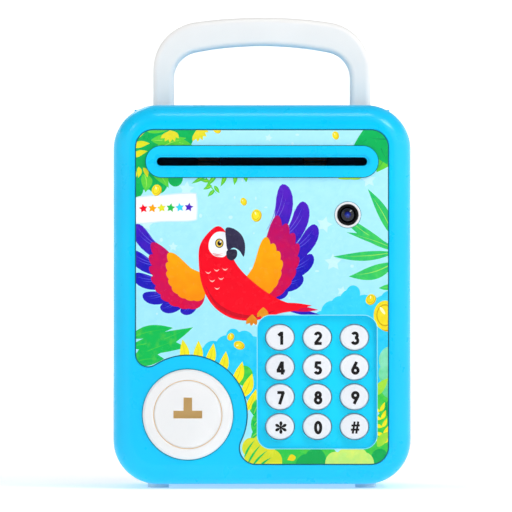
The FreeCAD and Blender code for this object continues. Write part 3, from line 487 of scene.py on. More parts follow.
def paint_sky(picture):
    """Pale stars and dots."""
    draw = random.Random(7)
    for x, y, size in (
        (-34, 124, 3.6), (3, 147, 1.9), (48, 128, 3.4), (28, 108, 3.8), (32, 91, 4.0), (-52, 108, 3.0),
        (-48, 58, 2.6), (10, 132, 2.0), (40, 143, 2.4), (-40, 98, 2.2), (36, 78, 2.4), (-3, 64, 2.2),
    ):
        picture.paint("haze", star((x, y), size, draw.uniform(-18, 18)))
    for _ in range(34):
        spot = (draw.uniform(-54, 54), draw.uniform(62, 149))
        picture.paint("haze", ellipse(spot, draw.uniform(0.35, 1.0), draw.uniform(0.35, 1.0), 0, 12))


def paint_top_left(picture):
    """Broad leaves, blossoms and yellow sprigs that hang into the top left corner."""
    picture.bush("leaf_deep", (
        (-54, 147, 8), (-46, 148, 8.5), (-38, 149, 7.5), (-33, 151, 5), (-56, 136, 6.5), (-55, 129, 5),
        (-50, 131, 6.5), (-44, 134, 6), (-57, 124, 3.6), (-47, 127, 4.6), (-39, 129, 3.4),
    ))
    for base, tip, width in (
        ((-50, 146), (-31, 143.5), 5.5), ((-48, 141), (-34, 147), 5), ((-52, 150), (-38, 152), 5),
        ((-50, 134), (-42, 124.5), 5.5), ((-53, 131), (-52.5, 122.5), 5),
    ):
        picture.leaf("leaf_bright", "leaf_vein", base, tip, width, 1.0)
    for base, tip, width in (
        ((-58, 143), (-50.5, 144.5), 3.0), ((-58, 138.5), (-51.5, 141), 2.7),
        ((-58, 146.5), (-52.6, 149.6), 2.6), ((-55.5, 134), (-55.8, 129), 2.2),
        ((-57.5, 133), (-58.2, 127.5), 2.2), ((-53.4, 133.6), (-51.6, 129.2), 2.0),
    ):
        picture.paint("yellow_leaf", blade(base, tip, width, 0.5))
    for centre, heading in (((-41.5, 150.5), -90), ((-29.5, 150.8), -60)):
        for lean in (-48, -24, 0, 24, 48):
            tip = polar(centre, heading + lean, 5.6)
            picture.paint("blossom", blade(centre, tip, 1.9, 0.3, 0.6))


def paint_top_right(picture):
    """Broad leaves in the top right corner, and sprigs that hang under the note slot."""
    picture.leaf("leaf_mid", "leaf_shade", (58, 146), (51.5, 131.5), 9, 1.0)
    picture.leaf("leaf_deep", "leaf_shade", (60, 150), (41, 143), 11, -1.5)
    picture.leaf("leaf_deep", "leaf_shade", (54, 153), (56.5, 135), 12, -2.5)
    picture.leaf("leaf_deep", "leaf_shade", (60, 147), (46, 147.5), 8, 1.0)
    picture.paint("leaf_lime", blade((44, 131), (34, 128.6), 2.6, 0.3))
    picture.paint("leaf_lime", blade((46, 131), (40, 128.3), 2.4, 0.3))
    for step, lean in enumerate((-160, -142, -124, -106, -88)):
        base = (-24.5 + 4.1 * step, 131)
        picture.leaf("leaf_mid", "leaf_lime", base, polar(base, lean + 12, 8.6 - 1.1 * step), 2.0, 0.3)
    picture.paint("leaf_mid", blade((-26, 131), (-20, 121.5), 0.7, -0.6))
    for spot, lean in (
        ((-23.6, 127.6), 175), ((-22.6, 125.6), 205), ((-21.4, 123.6), 225), ((-21.5, 125.5), -55),
    ):
        picture.leaf("leaf_mid", "leaf_lime", spot, polar(spot, lean, 4.3), 1.7)


def paint_tag(picture):
    """A plain white tag with a row of small coloured stars."""
    picture.paint("tag_edge", smooth((
        (-58, 119.6), (-44, 121.6), (-31.2, 122.4), (-29.2, 120.6), (-29.0, 112.0), (-31.0, 109.6),
        (-44, 109.2), (-58, 109.0),
    ), 8))
    picture.paint("tag", smooth((
        (-58, 119.1), (-44, 121.1), (-31.4, 121.9), (-29.7, 120.2), (-29.5, 112.3), (-31.3, 110.1),
        (-44, 109.7), (-58, 109.5),
    ), 8))
    colours = ("plume_red", "plume_gold", "yellow_leaf", "leaf_mid", "hill", "plume_blue")
    for index, colour in enumerate(colours):
        spot = (-53.4 + 4.1 * index, 115.2 + 0.12 * index)
        picture.paint(colour, star(spot, 2.1, 8 * (-1) ** index))


def paint_palm(picture):
    """Long pointed leaves that come in from the right edge."""
    for base, tip, width, bend in (
        ((60, 101), (47.6, 124), 5.0, -1.0), ((60, 96), (33.5, 114.5), 4.4, 1.2),
        ((60, 97), (38, 104.5), 3.0, -0.6), ((60, 95.5), (32, 93.6), 4.2, 0.8),
        ((60, 91), (39, 84.6), 6.2, 1.6), ((60, 80.5), (52.5, 79.4), 2.6, 0.2),
    ):
        picture.leaf("palm", "leaf_vein", base, tip, width, bend, 0.45)


def paint_hills(picture):
    """Rounded blue bushes behind the keypad and beside the lock."""
    picture.bush("hill", (
        (27, 64, 4.5), (31.5, 68, 5), (35, 71, 4.2), (39.5, 73.5, 4.6), (41, 77, 3.2), (46, 70, 5.6),
        (51, 69, 5.4), (55, 70, 5.4), (57, 74, 3.6), (48, 64, 6), (38, 66, 7), (56, 60, 7), (56, 50, 7),
        (56, 38, 6), (-22, 50, 5), (-16, 52, 5.4), (-13, 57.5, 3.2), (-8, 55, 4.6), (-4, 52, 5),
        (-8, 48, 7), (-3, 44, 7), (-27, 48, 4), (-2, 35, 7), (-16, 46, 6),
    ))


def paint_lower_left(picture):
    """Leaves that spread from the left edge, above the lock."""
    for base, tip, width, bend in (
        ((-60, 57), (-40, 61.5), 5.4, 0.8), ((-60, 53), (-31, 61.8), 7.0, -1.6),
        ((-56, 51), (-34, 52.5), 6.5, 1.8), ((-58, 48), (-37, 56.5), 6.5, 0.5),
        ((-58, 46), (-44, 47.5), 6.5, 1.0),
    ):
        picture.leaf("leaf_mid", "leaf_bright", base, tip, width, bend, 0.45)


def paint_foot(picture):
    """Undergrowth along the lock's arc and under the keypad."""
    picture.bush("leaf_bright", (
        (1, 18, 6), (-1, 27, 5), (2, 9, 7), (9, 3.5, 6), (18, 3, 6), (28, 2.5, 6), (-8, 40, 4),
        (2, 35, 3.4), (55.5, 28, 5), (57, 18, 6), (55, 10, 6), (50, 4, 6), (40, 2, 6),
    ))
    picture.bush("leaf_pale", ((58, 47, 5.4), (57, 41, 4.6), (58, 35, 4.6)))
    picture.bush("leaf_deep", ((24, 1.6, 5.0), (20, -1, 5), (58.5, 25, 3.6), (53, 2.5, 4)))
    picture.bush("meadow", ((33, 0.5, 4.6), (38, 1.5, 5.2), (43, 2, 5), (46, 0.5, 4.4)))
    for base, tip, width in (
        ((-35, 44), (-35.8, 56.4), 4.4), ((-30, 44), (-28.6, 55.8), 4.4), ((-25, 43), (-21.8, 54.6), 4.2),
        ((-19, 40), (-16.2, 51), 4.2), ((-13, 35), (-8.8, 46.4), 4.4), ((-9, 30), (-4.4, 41), 4.6),
        ((-7, 24), (-2.6, 34), 3.8),
    ):
        picture.leaf("yellow_leaf", "yellow_shade", base, tip, width, -0.6, 0.45)
    for base, tip, width in (
        ((-4, 22), (0.6, 31), 4.6), ((-4, 17), (2.8, 24.5), 4.4), ((-5, 12), (2.6, 17.2), 3.8),
    ):
        picture.leaf("leaf_mid", "leaf_lime", base, tip, width, 0.4, 0.45)
    picture.bush("blossom", (
        (-5, 7.5, 4.0), (-1.0, 9.0, 3.6), (1.5, 5.5, 4.4), (4.5, 1.5, 4.6), (-3, 3, 5),
    ))
    for base, tip in (
        ((-8, 3), (-3.2, 11)), ((-6.5, 0), (-0.4, 9)), ((-4.5, -1), (2.6, 6.4)), ((-2, -2), (4.4, 3.2)),
    ):
        picture.paint("leaf_mid", blade(base, tip, 1.0, 0.5))
    picture.paint("coin_face", blade((11.4, 2.0), (15.2, 3.4), 3.0, 0.3, 0.6, 0.8))
    for index in range(5):
        spot = (53.2 + 0.5 * index, 24 - 3.6 * index)
        picture.paint("yellow_leaf", blade(spot, polar(spot, 158, 4.6), 1.7, 0.2))
        picture.paint("yellow_leaf", blade(spot, polar(spot, 64, 4.6), 1.7, -0.2))
    picture.paint("leaf_lime", blade((51, 31), (57, 39), 4, 0.5), blade((52, 8), (58, 15), 4, 0.6))


def paint_coins(picture):
    """Coins that fall all over the panel."""
    for x, y, size, tilt in (
        (-47.6, 123.6, 2.5, -25), (-8.4, 118.4, 1.7, 12), (-2.7, 112.2, 2.7, -14), (33.0, 148.2, 1.8, 6),
        (-20.4, 150.6, 1.7, 60), (48.8, 74.4, 2.5, -35), (-14.2, 57.6, 1.7, -30), (-10.4, 53.8, 2.3, 75),
        (55.4, 67.2, 6.6, 0),
    ):
        picture.coin((x, y), size, tilt)


def paint_wing(picture, shoulder, plumes, side):
    """One spread wing: blue flight feathers, then crimson and golden rows with scalloped edges.

    plumes holds each flight feather's heading and length from the leading edge; side is -1 on the left.
    """
    for heading, length in plumes:
        tip = polar(shoulder, heading, length)
        bend = -side * 0.11 * length
        picture.paint("plume_blue", blade(shoulder, tip, 3.4 + 0.095 * length, bend, 0.84, 0.42))
        for share, lean in ((0.95, 0.0), (0.9, 3.2), (0.9, -3.2)):
            start = polar(shoulder, heading, length * 0.55)
            end = polar(shoulder, heading + lean, length * share)
            picture.paint("plume_line", blade(start, end, 0.3, bend * 0.3, 0.5))
    for colour, reach, count, width in (("plume_crimson", 0.66, 9, 6.4), ("plume_gold", 0.44, 8, 5.6)):
        for index in range(count):
            spot = index / (count - 1) * (len(plumes) - 1)
            low = min(int(spot), len(plumes) - 2)
            first, second = Vector(plumes[low]), Vector(plumes[low + 1])
            heading, length = first.lerp(second, spot - low)
            tip = polar(shoulder, heading - side * 4, length * reach + 3.0)
            bend = -side * 0.1 * length * reach
            picture.paint(colour, blade(shoulder, tip, width, bend, 0.74, 0.5, 3.4))


def paint_bird(picture):
    """A plain macaw in flight, tail down to the right."""
    paint_wing(picture, (-25.0, 84.0), (
        (144, 40), (162, 36), (179, 33), (197, 30), (215, 25), (236, 19.5)), -1)
    paint_wing(picture, (-9.0, 80.0), (
        (67, 50), (53, 47.5), (39, 43.5), (23, 35), (8, 28), (-6, 21)), 1)
    for tip, width, colour in (
        ((27.5, 67.0), 2.6, "plume_blue"), ((25.5, 69.6), 2.8, "plume_crimson"),
        ((22.5, 71.6), 2.6, "plume_red"),
    ):
        picture.paint(colour, blade((4, 73), tip, width, -0.8, 0.55))
    body = smooth((
        (-20.5, 107.2), (-15.6, 103.6), (-14.2, 96.0), (-10.5, 88.8), (-3.0, 81.4), (6.5, 74.9),
        (17.0, 70.2), (8.0, 68.0), (-3.0, 64.9), (-13.5, 65.8), (-21.8, 71.2), (-26.6, 79.6),
        (-28.4, 89.5), (-27.6, 99.5),
    ))
    picture.paint("plume_red", body)
    picture.paint("plume_shade", smooth((
        (-25.4, 80.5), (-20.5, 73.2), (-12.8, 68.6), (-3.0, 67.2), (6.0, 69.4), (-3.0, 65.9), (-13.0, 66.8),
        (-21.0, 72.0),
    )))
    for x, y in (
        (-24.2, 86.5), (-20.4, 87.6), (-16.6, 88.0), (-22.4, 82.8), (-18.4, 83.8), (-20.2, 79.4),
    ):
        picture.paint("plume_tick", blade((x - 1.3, y + 0.5), (x + 1.3, y + 0.5), 0.55, -0.9, 0.5))
    paint_head(picture)
    for x, y in ((-4.4, 66.2), (0.6, 69.4)):
        ankle = (x, y + 1.4)
        for lean in (-70, -96, -122):
            picture.paint("claw", blade(ankle, polar(ankle, lean, 5.2), 2.0, 0.2, 0.6, 0.7))


def paint_head(picture):
    """White face with an eye and faint lines, and a dark hooked beak."""
    picture.paint("face_white", smooth((
        (-17.0, 104.6), (-20.8, 104.4), (-23.6, 101.0), (-23.8, 96.6), (-20.6, 93.4), (-16.6, 93.8),
        (-14.8, 98.0), (-15.0, 102.4),
    )))
    for shift in (0, 1.5, 3.0):
        start, end = (-22.6 + shift * 0.3, 95.2 - shift * 0.4), (-17.4, 95.0 - shift * 0.5)
        picture.paint("plume_shade", blade(start, end, 0.3, -0.5))
    picture.paint("ink_black", ellipse((-19.2, 99.6), 1.9, 2.1))
    picture.paint("iris", ellipse((-19.2, 99.6), 1.5, 1.7))
    picture.paint("ink_black", ellipse((-19.1, 99.6), 0.95, 1.1))
    picture.paint("face_white", ellipse((-18.7, 100.2), 0.4, 0.45, 0, 14))
    picture.paint("beak_shade", smooth((
        (-15.6, 96.4), (-11.6, 96.6), (-11.4, 93.6), (-13.6, 91.8), (-15.8, 93.2),
    )))
    picture.paint("beak", smooth((
        (-16.2, 106.4), (-12.4, 106.0), (-9.0, 103.0), (-7.6, 98.6), (-8.2, 93.6), (-10.0, 96.0),
        (-12.6, 97.6), (-15.4, 96.6), (-16.2, 101.0),
    )))
    picture.paint("beak_shade", ellipse((-13.6, 103.0), 0.45, 0.7, 20, 12))


def stadium(low, high, spare):
    """A long round-ended outline round a box on the panel, with room to spare on every side."""
    radius = (high[1] - low[1]) / 2 + spare
    middle = (low[1] + high[1]) / 2
    right, left = high[0] + spare - radius, low[0] - spare + radius
    return arc(right, middle, radius, radius, -90, 90) + arc(left, middle, radius, radius, 90, 270)


def panel_picture():
    """Everything on the panel, from the back to the front."""
    picture = Picture()
    paint_sky(picture)
    paint_hills(picture)
    paint_top_left(picture)
    paint_top_right(picture)
    paint_palm(picture)
    paint_lower_left(picture)
    paint_tag(picture)
    paint_foot(picture)
    paint_coins(picture)
    paint_bird(picture)
    return picture.shapes


INKS = {
    "sky": ((160, 232, 250), (176, 240, 253), (0.2, 1.0), 40, 150, 0.3),
    "haze": ((196, 242, 253), (204, 246, 254), (0.0, 1.0), 20, 150, 0.3),
    "hill": ((22, 200, 250), (58, 214, 246), (0.0, 1.0), 34, 82, 0.35),
    "leaf_deep": ((8, 170, 80), (14, 184, 92), (0.3, 1.0), 0, 150, 0.5),
    "leaf_mid": ((6, 190, 84), (104, 212, 56), (1.0, 0.5), 0, 50, 0.5),
    "leaf_bright": ((46, 200, 76), (96, 214, 66), (0.4, 1.0), 0, 110, 0.6),
    "leaf_pale": ((84, 210, 130), (140, 228, 190), (0.0, 1.0), 30, 50, 0.3),
    "leaf_lime": ((150, 222, 60), (198, 236, 70), (0.0, 1.0), 0, 140, 0.4),
    "leaf_vein": ((120, 224, 110), (168, 236, 90), (0.0, 1.0), 0, 140, 0.2),
    "leaf_shade": ((0, 140, 74), (8, 148, 84), (0.0, 1.0), 0, 140, 0.2),
    "palm": ((66, 208, 96), (8, 186, 116), (-1.0, 0.7), -10, 80, 0.45),
    "yellow_leaf": ((250, 236, 30), (228, 228, 40), (0.0, 1.0), 0, 140, 0.5),
    "yellow_shade": ((216, 196, 20), (222, 206, 30), (0.0, 1.0), 0, 140, 0.3),
    "blossom": ((214, 222, 44), (236, 226, 52), (0.0, 1.0), 0, 152, 0.7),
    "meadow": ((190, 236, 120), (226, 244, 110), (0.0, 1.0), 0, 14, 0.5),
    "coin_edge": ((206, 160, 10), (222, 176, 18), (0.0, 1.0), 0, 140, 0.3),
    "coin_face": ((240, 214, 26), (252, 234, 48), (0.0, 1.0), 0, 140, 0.4),
    "coin_line": ((206, 170, 14), (214, 180, 20), (0.0, 1.0), 0, 140, 0.2),
    "coin_shine": ((255, 250, 176), (255, 252, 200), (0.0, 1.0), 0, 140, 0.2),
    "plume_blue": ((26, 22, 186), (86, 30, 196), (0.0, 1.0), 88, 124, 0.25),
    "plume_line": ((70, 84, 224), (124, 96, 214), (0.0, 1.0), 84, 124, 0.2),
    "plume_crimson": ((222, 0, 66), (184, 4, 104), (0.0, 1.0), 66, 112, 0.25),
    "plume_gold": ((252, 140, 0), (255, 172, 0), (0.0, 1.0), 70, 100, 0.2),
    "plume_red": ((251, 0, 34), (244, 0, 32), (0.0, 1.0), 62, 108, 0.25),
    "plume_shade": ((206, 0, 34), (216, 8, 40), (0.0, 1.0), 62, 108, 0.2),
    "plume_tick": ((255, 196, 190), (255, 214, 204), (0.0, 1.0), 62, 108, 0.2),
    "face_white": ((250, 250, 252), (238, 240, 248), (0.0, 1.0), 90, 108, 0.3),
    "tag": ((252, 253, 254), (244, 248, 251), (0.0, 1.0), 108, 124, 0.3),
    "tag_edge": ((214, 240, 248), (206, 236, 246), (0.0, 1.0), 108, 124, 0.3),
    "iris": ((236, 208, 96), (226, 190, 70), (0.0, 1.0), 90, 108, 0.2),
    "ink_black": ((14, 12, 18), (22, 20, 30), (0.0, 1.0), 0, 140, 0.3),
    "beak": ((44, 40, 70), (60, 56, 86), (0.3, 1.0), 90, 108, 0.4),
    "beak_shade": ((40, 36, 60), (52, 48, 74), (0.0, 1.0), 88, 108, 0.3),
    "claw": ((222, 128, 20), (238, 156, 34), (0.0, 1.0), 60, 72, 0.4),
    # painted highlight: the pale line round the key tray's window, where its edge catches the light
    "tray_rim_highlight": ((120, 228, 252), (140, 234, 254), (0.0, 1.0), 0, 80, 0.3),
    # painted shadow: the dark line along the panel's edge and round the note slot's bezel and the eye ring
    "outline": ((22, 92, 112), (30, 110, 128), (0.0, 1.0), 0, 150, 0.4),
}


def flat_sheet(name, outlines, pick, front, rear, materials):
    """A closed thin sheet whose front is divided by overlapping outlines, each given on the panel.

    pick turns the set of outlines that hold a spot into its material's number, or None for no sheet.
    The rear and the edges have the last material.
    """
    corners = []
    faces = []
    for outline in outlines:
        ordered = outline if signed_area(outline) > 0 else outline[::-1]
        faces.append(list(range(len(corners), len(corners) + len(ordered))))
        corners += [Vector(point) for point in ordered]
    spots, _, cells, _, _, owners = delaunay_2d_cdt(corners, [], faces, 1, 1e-5, True)
    mesh = bmesh.new()
    plain = len(materials) - 1
    sides = {}

    def corner(index, depth):
        key = (index, depth)
        if key not in sides:
            x, z = spots[index]
            sides[key] = mesh.verts.new((PANEL_LEFT + x * MM, depth, PANEL_FOOT + z * MM))
        return sides[key]

    open_edges = {}
    for cell, owner in zip(cells, owners):
        chosen = pick(set(owner))
        if chosen is None:
            continue
        mesh.faces.new([corner(index, front) for index in cell]).material_index = chosen
        mesh.faces.new([corner(index, rear) for index in reversed(cell)]).material_index = plain
        for first, second in zip(cell, cell[1:] + cell[:1]):
            if (second, first) in open_edges:
                open_edges.pop((second, first))
            else:
                open_edges[(first, second)] = True
    for first, second in open_edges:
        mesh.faces.new([
            corner(second, front), corner(first, front), corner(first, rear), corner(second, rear),
        ]).material_index = plain
    bmesh.ops.recalc_face_normals(mesh, faces=mesh.faces)
    data = bpy.data.meshes.new(name)
    mesh.to_mesh(data)
    mesh.free()
    item = bpy.data.objects.new(name, data)
    scene.collection.objects.link(item)
    for material in materials:
        data.materials.append(material)
    return item


# width in mm of the painted shadow line along the panel's edge
EDGE_SHADOW_LINE = 0.32
# width in mm of the painted highlight round the key tray's window
TRAY_RIM_HIGHLIGHT = 0.4


def make_panel():
    """The printed panel, cut round its windows, with a line of painted shadow at its edge and round the
    note slot's bezel and the eye ring, and a line of painted highlight round the key tray's window.
    """
    loops = front_loops("label_panel")
    edge, windows = loops[0], loops[1:]
    shapes = panel_picture()
    tray_window = windows[0]
    # painted highlight round the key tray's window
    shapes.append(("tray_rim_highlight", inset(tray_window, -TRAY_RIM_HIGHLIGHT)))
    # painted shadow round the note slot's bezel and the eye ring
    for node, spare in (("slot_bezel", 0.35), ("camera_ring", 0.25)):
        low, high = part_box(node)
        shapes.append(("outline", stadium(panel_point(low.x, low.z), panel_point(high.x, high.z), spare)))
    outlines = [edge, inset(edge, EDGE_SHADOW_LINE)] + windows + [outline for _, outline in shapes]
    first_shape = 2 + len(windows)
    window_ids = set(range(2, first_shape))
    names = list(INKS)
    colours = [names.index(colour) for colour, _ in shapes]

    def pick(owner):
        if 0 not in owner or owner & window_ids:
            return None
        # the band between the panel's edge and its inset is painted shadow
        if 1 not in owner:
            return names.index("outline")
        top = max(owner)
        return colours[top - first_shape] if top >= first_shape else names.index("sky")

    materials = [ink(name, *values) for name, values in INKS.items()]
    panel = flat_sheet("picture_panel", outlines, pick, panel_low.y, panel_high.y, materials)
    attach(panel, "door")
    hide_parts("label_panel")


# ---------------------------------------------------------------- key legends

LEGEND_TALL = 5.9
LEGEND_SHIFT = (0.4 * MM, -0.4 * MM)
LEGEND_PROUD = 0.04 * MM
LEGEND_SUNK = 0.12 * MM
PEN = 0.23
HASH_PEN = 0.155
ASTERISK_REACH = 2.9


def arc(x, y, wide, tall, start, end):
    """Points of an elliptical arc, angles in degrees."""
    count = max(int(abs(end - start) / 15), 4)
    angles = [math.radians(start + (end - start) * index / count) for index in range(count + 1)]
    return [(x + wide * math.cos(angle), y + tall * math.sin(angle)) for angle in angles]


def ring(x, y, wide, tall):
    """A closed loop as two strokes that overlap a little."""
    return [arc(x, y, wide, tall, -95, 95), arc(x, y, wide, tall, 85, 275)]


# Each character is pen strokes on a grid one high, about the middle line x = 0.
STROKES = {
    "1": [[(-0.2, 0.71), (0.03, 0.89)], [(0.06, 0.0), (0.06, 1.0)]],
    "2": [arc(-0.01, 0.69, 0.2, 0.21, 168, -30) + [(-0.22, 0.1)], [(-0.28, 0.1), (0.27, 0.1)]],
    "3": [arc(-0.03, 0.715, 0.18, 0.185, 160, -90), arc(-0.03, 0.315, 0.22, 0.215, 90, -160)],
    "4": [[(0.08, 0.96), (-0.24, 0.28)], [(-0.32, 0.27), (0.31, 0.27)], [(0.11, 0.0), (0.11, 1.0)]],
    "5": [
        [(-0.19, 0.9), (0.23, 0.9)], [(-0.13, 0.98), (-0.17, 0.5)], arc(-0.03, 0.32, 0.22, 0.22, 128, -155),
    ],
    "6": [*ring(0.0, 0.315, 0.21, 0.215), [(-0.19, 0.41), (0.1, 0.97)]],
    "7": [[(-0.27, 0.9), (0.25, 0.9)], [(0.2, 0.94), (-0.1, 0.0)]],
    "8": [*ring(0.0, 0.725, 0.165, 0.175), *ring(0.0, 0.315, 0.21, 0.215)],
    "9": [*ring(0.0, 0.685, 0.21, 0.215), [(0.19, 0.59), (-0.1, 0.03)]],
    "0": ring(0.0, 0.5, 0.2, 0.4),
    "hash": [
        [(-0.2, 0.04), (-0.05, 0.96)], [(0.07, 0.04), (0.22, 0.96)], [(-0.3, 0.66), (0.34, 0.66)],
        [(-0.34, 0.34), (0.3, 0.34)],
    ],
}


def pen_stroke(points, width):
    """The outline of a pen line with square ends."""
    left, right = [], []
    last = len(points) - 1
    for index, point in enumerate(points):
        before, after = Vector(points[max(index - 1, 0)]), Vector(points[min(index + 1, last)])
        run = (after - before).normalized()
        side = Vector((-run.y, run.x)) * width / 2
        left.append(tuple(Vector(point) + side))
        right.append(tuple(Vector(point) - side))
    return left + right[::-1]


def character(key, middle):
    """Outlines of a character's strokes round a point of the panel."""
    width = HASH_PEN if key == "hash" else PEN
    return [
        [(middle[0] + x * LEGEND_TALL, middle[1] + (y - 0.5) * LEGEND_TALL)
         for x, y in pen_stroke(line, width)]
        for line in STROKES[key]
    ]


def asterisk(middle):
    """Outlines of six drop-shaped rays and the dot where they meet."""
    tips = [polar(middle, 90 + 60 * index, ASTERISK_REACH) for index in range(6)]
    rays = [blade(middle, tip, 1.35, 0, 0.66, 0.6, foot=0.5) for tip in tips]
    return rays + [ellipse(middle, 0.62, 0.62, 0, 18)]


def make_legends():
    """Each key's printed character, a thin closed sheet let into the key's face."""
    black = ink("legend", (16, 15, 17), (30, 28, 30), mottle=0.4)
    for key in KEYS:
        low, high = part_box(f"button_{key}")
        middle = panel_point(
            (low.x + high.x) / 2 + LEGEND_SHIFT[0], (low.z + high.z) / 2 + LEGEND_SHIFT[1])
        outlines = asterisk(middle) if key == "star" else character(key, middle)
        item = flat_sheet(
            f"legend_{key}", outlines, lambda owner: 0 if owner else None,
            low.y - LEGEND_PROUD, low.y + LEGEND_SUNK, [black])
        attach(item, f"key_{key}")


# ---------------------------------------------------------------- CAD nodes

def finish_nodes():
    """One material for each CAD node."""
    case = case_plastic()
    bezel = moulded("bezel_plastic", (6, 206, 252), (2, 200, 250), 0.3, shine=0.3)
    key = moulded("key_plastic", (240, 242, 247), (233, 236, 243), 0.3)
    grip = moulded("grip_plastic", (248, 246, 244), (243, 242, 241), 0.42)
    natural = moulded("inner_plastic", (232, 234, 233), (222, 225, 226), 0.45)
    dark = moulded("guide_plastic", (44, 22, 170), (34, 16, 150), 0.5, shine=0.2)
    black = moulded("barrel_plastic", (6, 6, 9), (12, 12, 16), 0.42, shine=0.25)
    acetal = moulded("gear_plastic", (240, 234, 216), (230, 222, 200), 0.4)
    steel = metal("zinc_plate", (206, 208, 212), (172, 174, 178), 0.28)
    axle = metal("drawn_steel", (196, 198, 202), (160, 162, 168), 0.25, (1.0, 8.0, 8.0))
    can = metal("plated_can", (190, 192, 196), (160, 163, 168), 0.32, (1.0, 6.0, 6.0))
    jacket = moulded("cell_jacket", (40, 140, 92), (30, 120, 80), 0.3, coat=0.4)
    foot = rubber("foot_rubber", (206, 228, 238), (218, 236, 244))
    roller = rubber("roller_rubber", (30, 30, 34), (52, 52, 56))
    silicone = rubber("silicone", (196, 200, 204), (214, 217, 220))
    board = solder_mask("solder_mask")
    cone = rubber("cone_paper", (34, 34, 38), (56, 56, 60))
    looks = {
        case: ("body_shell", "door_shell"),
        bezel: ("slot_bezel",),
        key: tuple(f"button_{name}" for name in KEYS),
        grip: ("carry_handle",),
        natural: ("door_back_cover", "battery_cover", "feeder_frame"),
        dark: ("note_guide_lower", "note_guide_upper", "note_sensor"),
        black: ("camera_barrel",),
        acetal: ("motor_pinion", "idler_gear", "feed_gear"),
        steel: ("lock_cam", "lock_screw", "cover_screws", "battery_cover_screw", "battery_contacts",
                "speaker_frame", "handle_pins"),
        axle: ("feed_axle", "pinch_axle", "hinge_pin_lower", "hinge_pin_upper", "solenoid_plunger"),
        can: ("feed_motor", "solenoid_case"),
        jacket: ("battery_cells",),
        foot: ("foot_front_left", "foot_front_right", "foot_rear_left", "foot_rear_right"),
        roller: ("feed_rollers", "pinch_rollers"),
        silicone: ("keypad_membrane",),
        board: ("keypad_board", "main_board", "camera_board"),
        cone: ("speaker_cone",),
        lock_plastic("lock_dial_plastic", "lock_dial"): ("lock_dial",),
        lock_plastic("lock_ring_plastic", "lock_escutcheon"): ("lock_escutcheon",),
        moulded("eye_ring_plastic", (244, 245, 248), (236, 238, 242), 0.3): ("camera_ring",),
        lens_glass("lens_glass"): ("camera_lens",),
    }
    for material, names in looks.items():
        for name in names:
            slots = nodes[name].data.materials
            slots.clear()
            slots.append(material)


# ---------------------------------------------------------------- studio

def sweep_paper():
    """White paper lit from behind: brighter far out, dimmer on the left, dark in front of the door."""
    recipe = Recipe("sweep_paper")
    tone = recipe.spread(recipe.noise(3.0), 0.3, 0.7)
    paper = recipe.blend(tone, linear((250, 250, 250)), linear((247, 247, 247)))
    length = recipe.add("ShaderNodeVectorMath", operation="LENGTH")
    recipe.link(recipe.place, length.inputs[0])
    outward = recipe.spread(length.outputs["Value"], 1.0, 3.5)
    glow = recipe.blend(outward, grey(0.36), grey(0.62))
    left = recipe.spread(recipe.axis("X"), -2.0, -5.0)
    glow = recipe.blend(left, glow, grey(0.36))
    ahead = recipe.spread(recipe.axis("Y"), -4.3, -5.2)
    beside = recipe.spread(recipe.math("ABSOLUTE", recipe.axis("X")), 1.7, 2.7, 1.0, 0.0)
    dim = recipe.math("MULTIPLY", ahead, beside)
    recipe.link(recipe.blend(dim, paper, grey(0.06)), recipe.shader.inputs["Base Color"])
    recipe.link(recipe.blend(dim, glow, grey(0.0)), recipe.shader.inputs["Emission Color"])
    recipe.set(Roughness=0.9, Emission_Strength=1.0)
    return recipe.material


def make_sweep():
    """A round floor that curves up into a wall all round, well outside the camera's circle."""
    reach, radius, top, sides = 5.0, 1.5, 3.0, 64
    profile = [(reach * share, 0.0) for share in (0.2, 0.6, 1.0)]
    for angle in range(10, 91, 10):
        turn = math.radians(angle)
        profile.append((reach + radius * math.sin(turn), radius - radius * math.cos(turn)))
    profile.append((reach + radius, top))
    mesh = bmesh.new()
    middle = mesh.verts.new((0, 0, 0))
    turns = [math.tau * index / sides for index in range(sides)]
    rings = [
        [mesh.verts.new((away * math.cos(turn), away * math.sin(turn), height)) for turn in turns]
        for away, height in profile
    ]
    for index in range(sides):
        beyond = (index + 1) % sides
        mesh.faces.new((middle, rings[0][index], rings[0][beyond]))
        for inner, outer in zip(rings, rings[1:]):
            mesh.faces.new((inner[index], outer[index], outer[beyond], inner[beyond]))
    data = bpy.data.meshes.new("sweep")
    mesh.to_mesh(data)
    mesh.free()
    for polygon in data.polygons:
        polygon.use_smooth = True
    data.materials.append(sweep_paper())
    sweep = bpy.data.objects.new("sweep", data)
    scene.collection.objects.link(sweep)


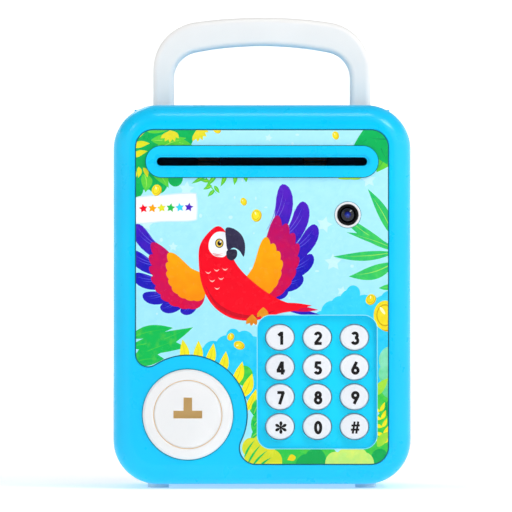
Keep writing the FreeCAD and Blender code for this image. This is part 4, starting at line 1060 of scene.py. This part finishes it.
def make_lights():
    """Even light from above, a little weaker from the left, and four softboxes."""
    world = bpy.data.worlds.new("studio")
    world.use_nodes = True
    tree = world.node_tree
    background = tree.nodes["Background"]
    background.inputs["Strength"].default_value = 0.4
    direction = tree.nodes.new("ShaderNodeTexCoord")
    parts = tree.nodes.new("ShaderNodeSeparateXYZ")
    shade = tree.nodes.new("ShaderNodeMapRange")
    for field, value in (("From Min", -1.0), ("From Max", 0.6), ("To Min", 0.6), ("To Max", 1.0)):
        shade.inputs[field].default_value = value
    tree.links.new(direction.outputs["Generated"], parts.inputs["Vector"])
    tree.links.new(parts.outputs["X"], shade.inputs["Value"])
    tree.links.new(shade.outputs["Result"], background.inputs["Color"])
    scene.world = world

    target = Vector((0, 0, 0.11))
    for name, place, size, watts in (
        ("softbox_right", (0.72, -0.9, 1.0), 0.4, 5.4),
        ("softbox_left", (-0.85, -0.95, 0.9), 0.3, 1.3),
        ("softbox_high", (0.1, -0.75, 1.5), 0.4, 3.0),
        ("softbox_back", (-0.5, 1.2, 1.1), 0.5, 3.0),
    ):
        light = bpy.data.lights.new(name, "AREA")
        light.size = size
        light.energy = watts
        lamp = bpy.data.objects.new(name, light)
        lamp.location = place
        lamp.rotation_euler = (target - Vector(place)).to_track_quat("-Z", "Y").to_euler()
        scene.collection.objects.link(lamp)


def make_camera():
    """Square-on to the door, from a long way off and level with the middle of the picture."""
    view_width = 230.4 * MM
    distance = 4.0
    aside, eye_height = -2.7 * MM, 104.9 * MM
    front = cad_low.y + 1.4 * MM
    camera = bpy.data.cameras.new("camera")
    camera.sensor_width = 36.0
    camera.lens = camera.sensor_width * distance / view_width
    camera.clip_start = 0.05
    camera.clip_end = 20.0
    holder = bpy.data.objects.new("camera", camera)
    holder.location = (aside, front - distance, eye_height)
    holder.rotation_euler = (math.radians(90), 0, 0)
    scene.collection.objects.link(holder)
    scene.camera = holder


scene.view_settings.view_transform = "Standard"
make_camera()
make_sweep()
make_lights()
finish_nodes()
make_panel()
make_legends()
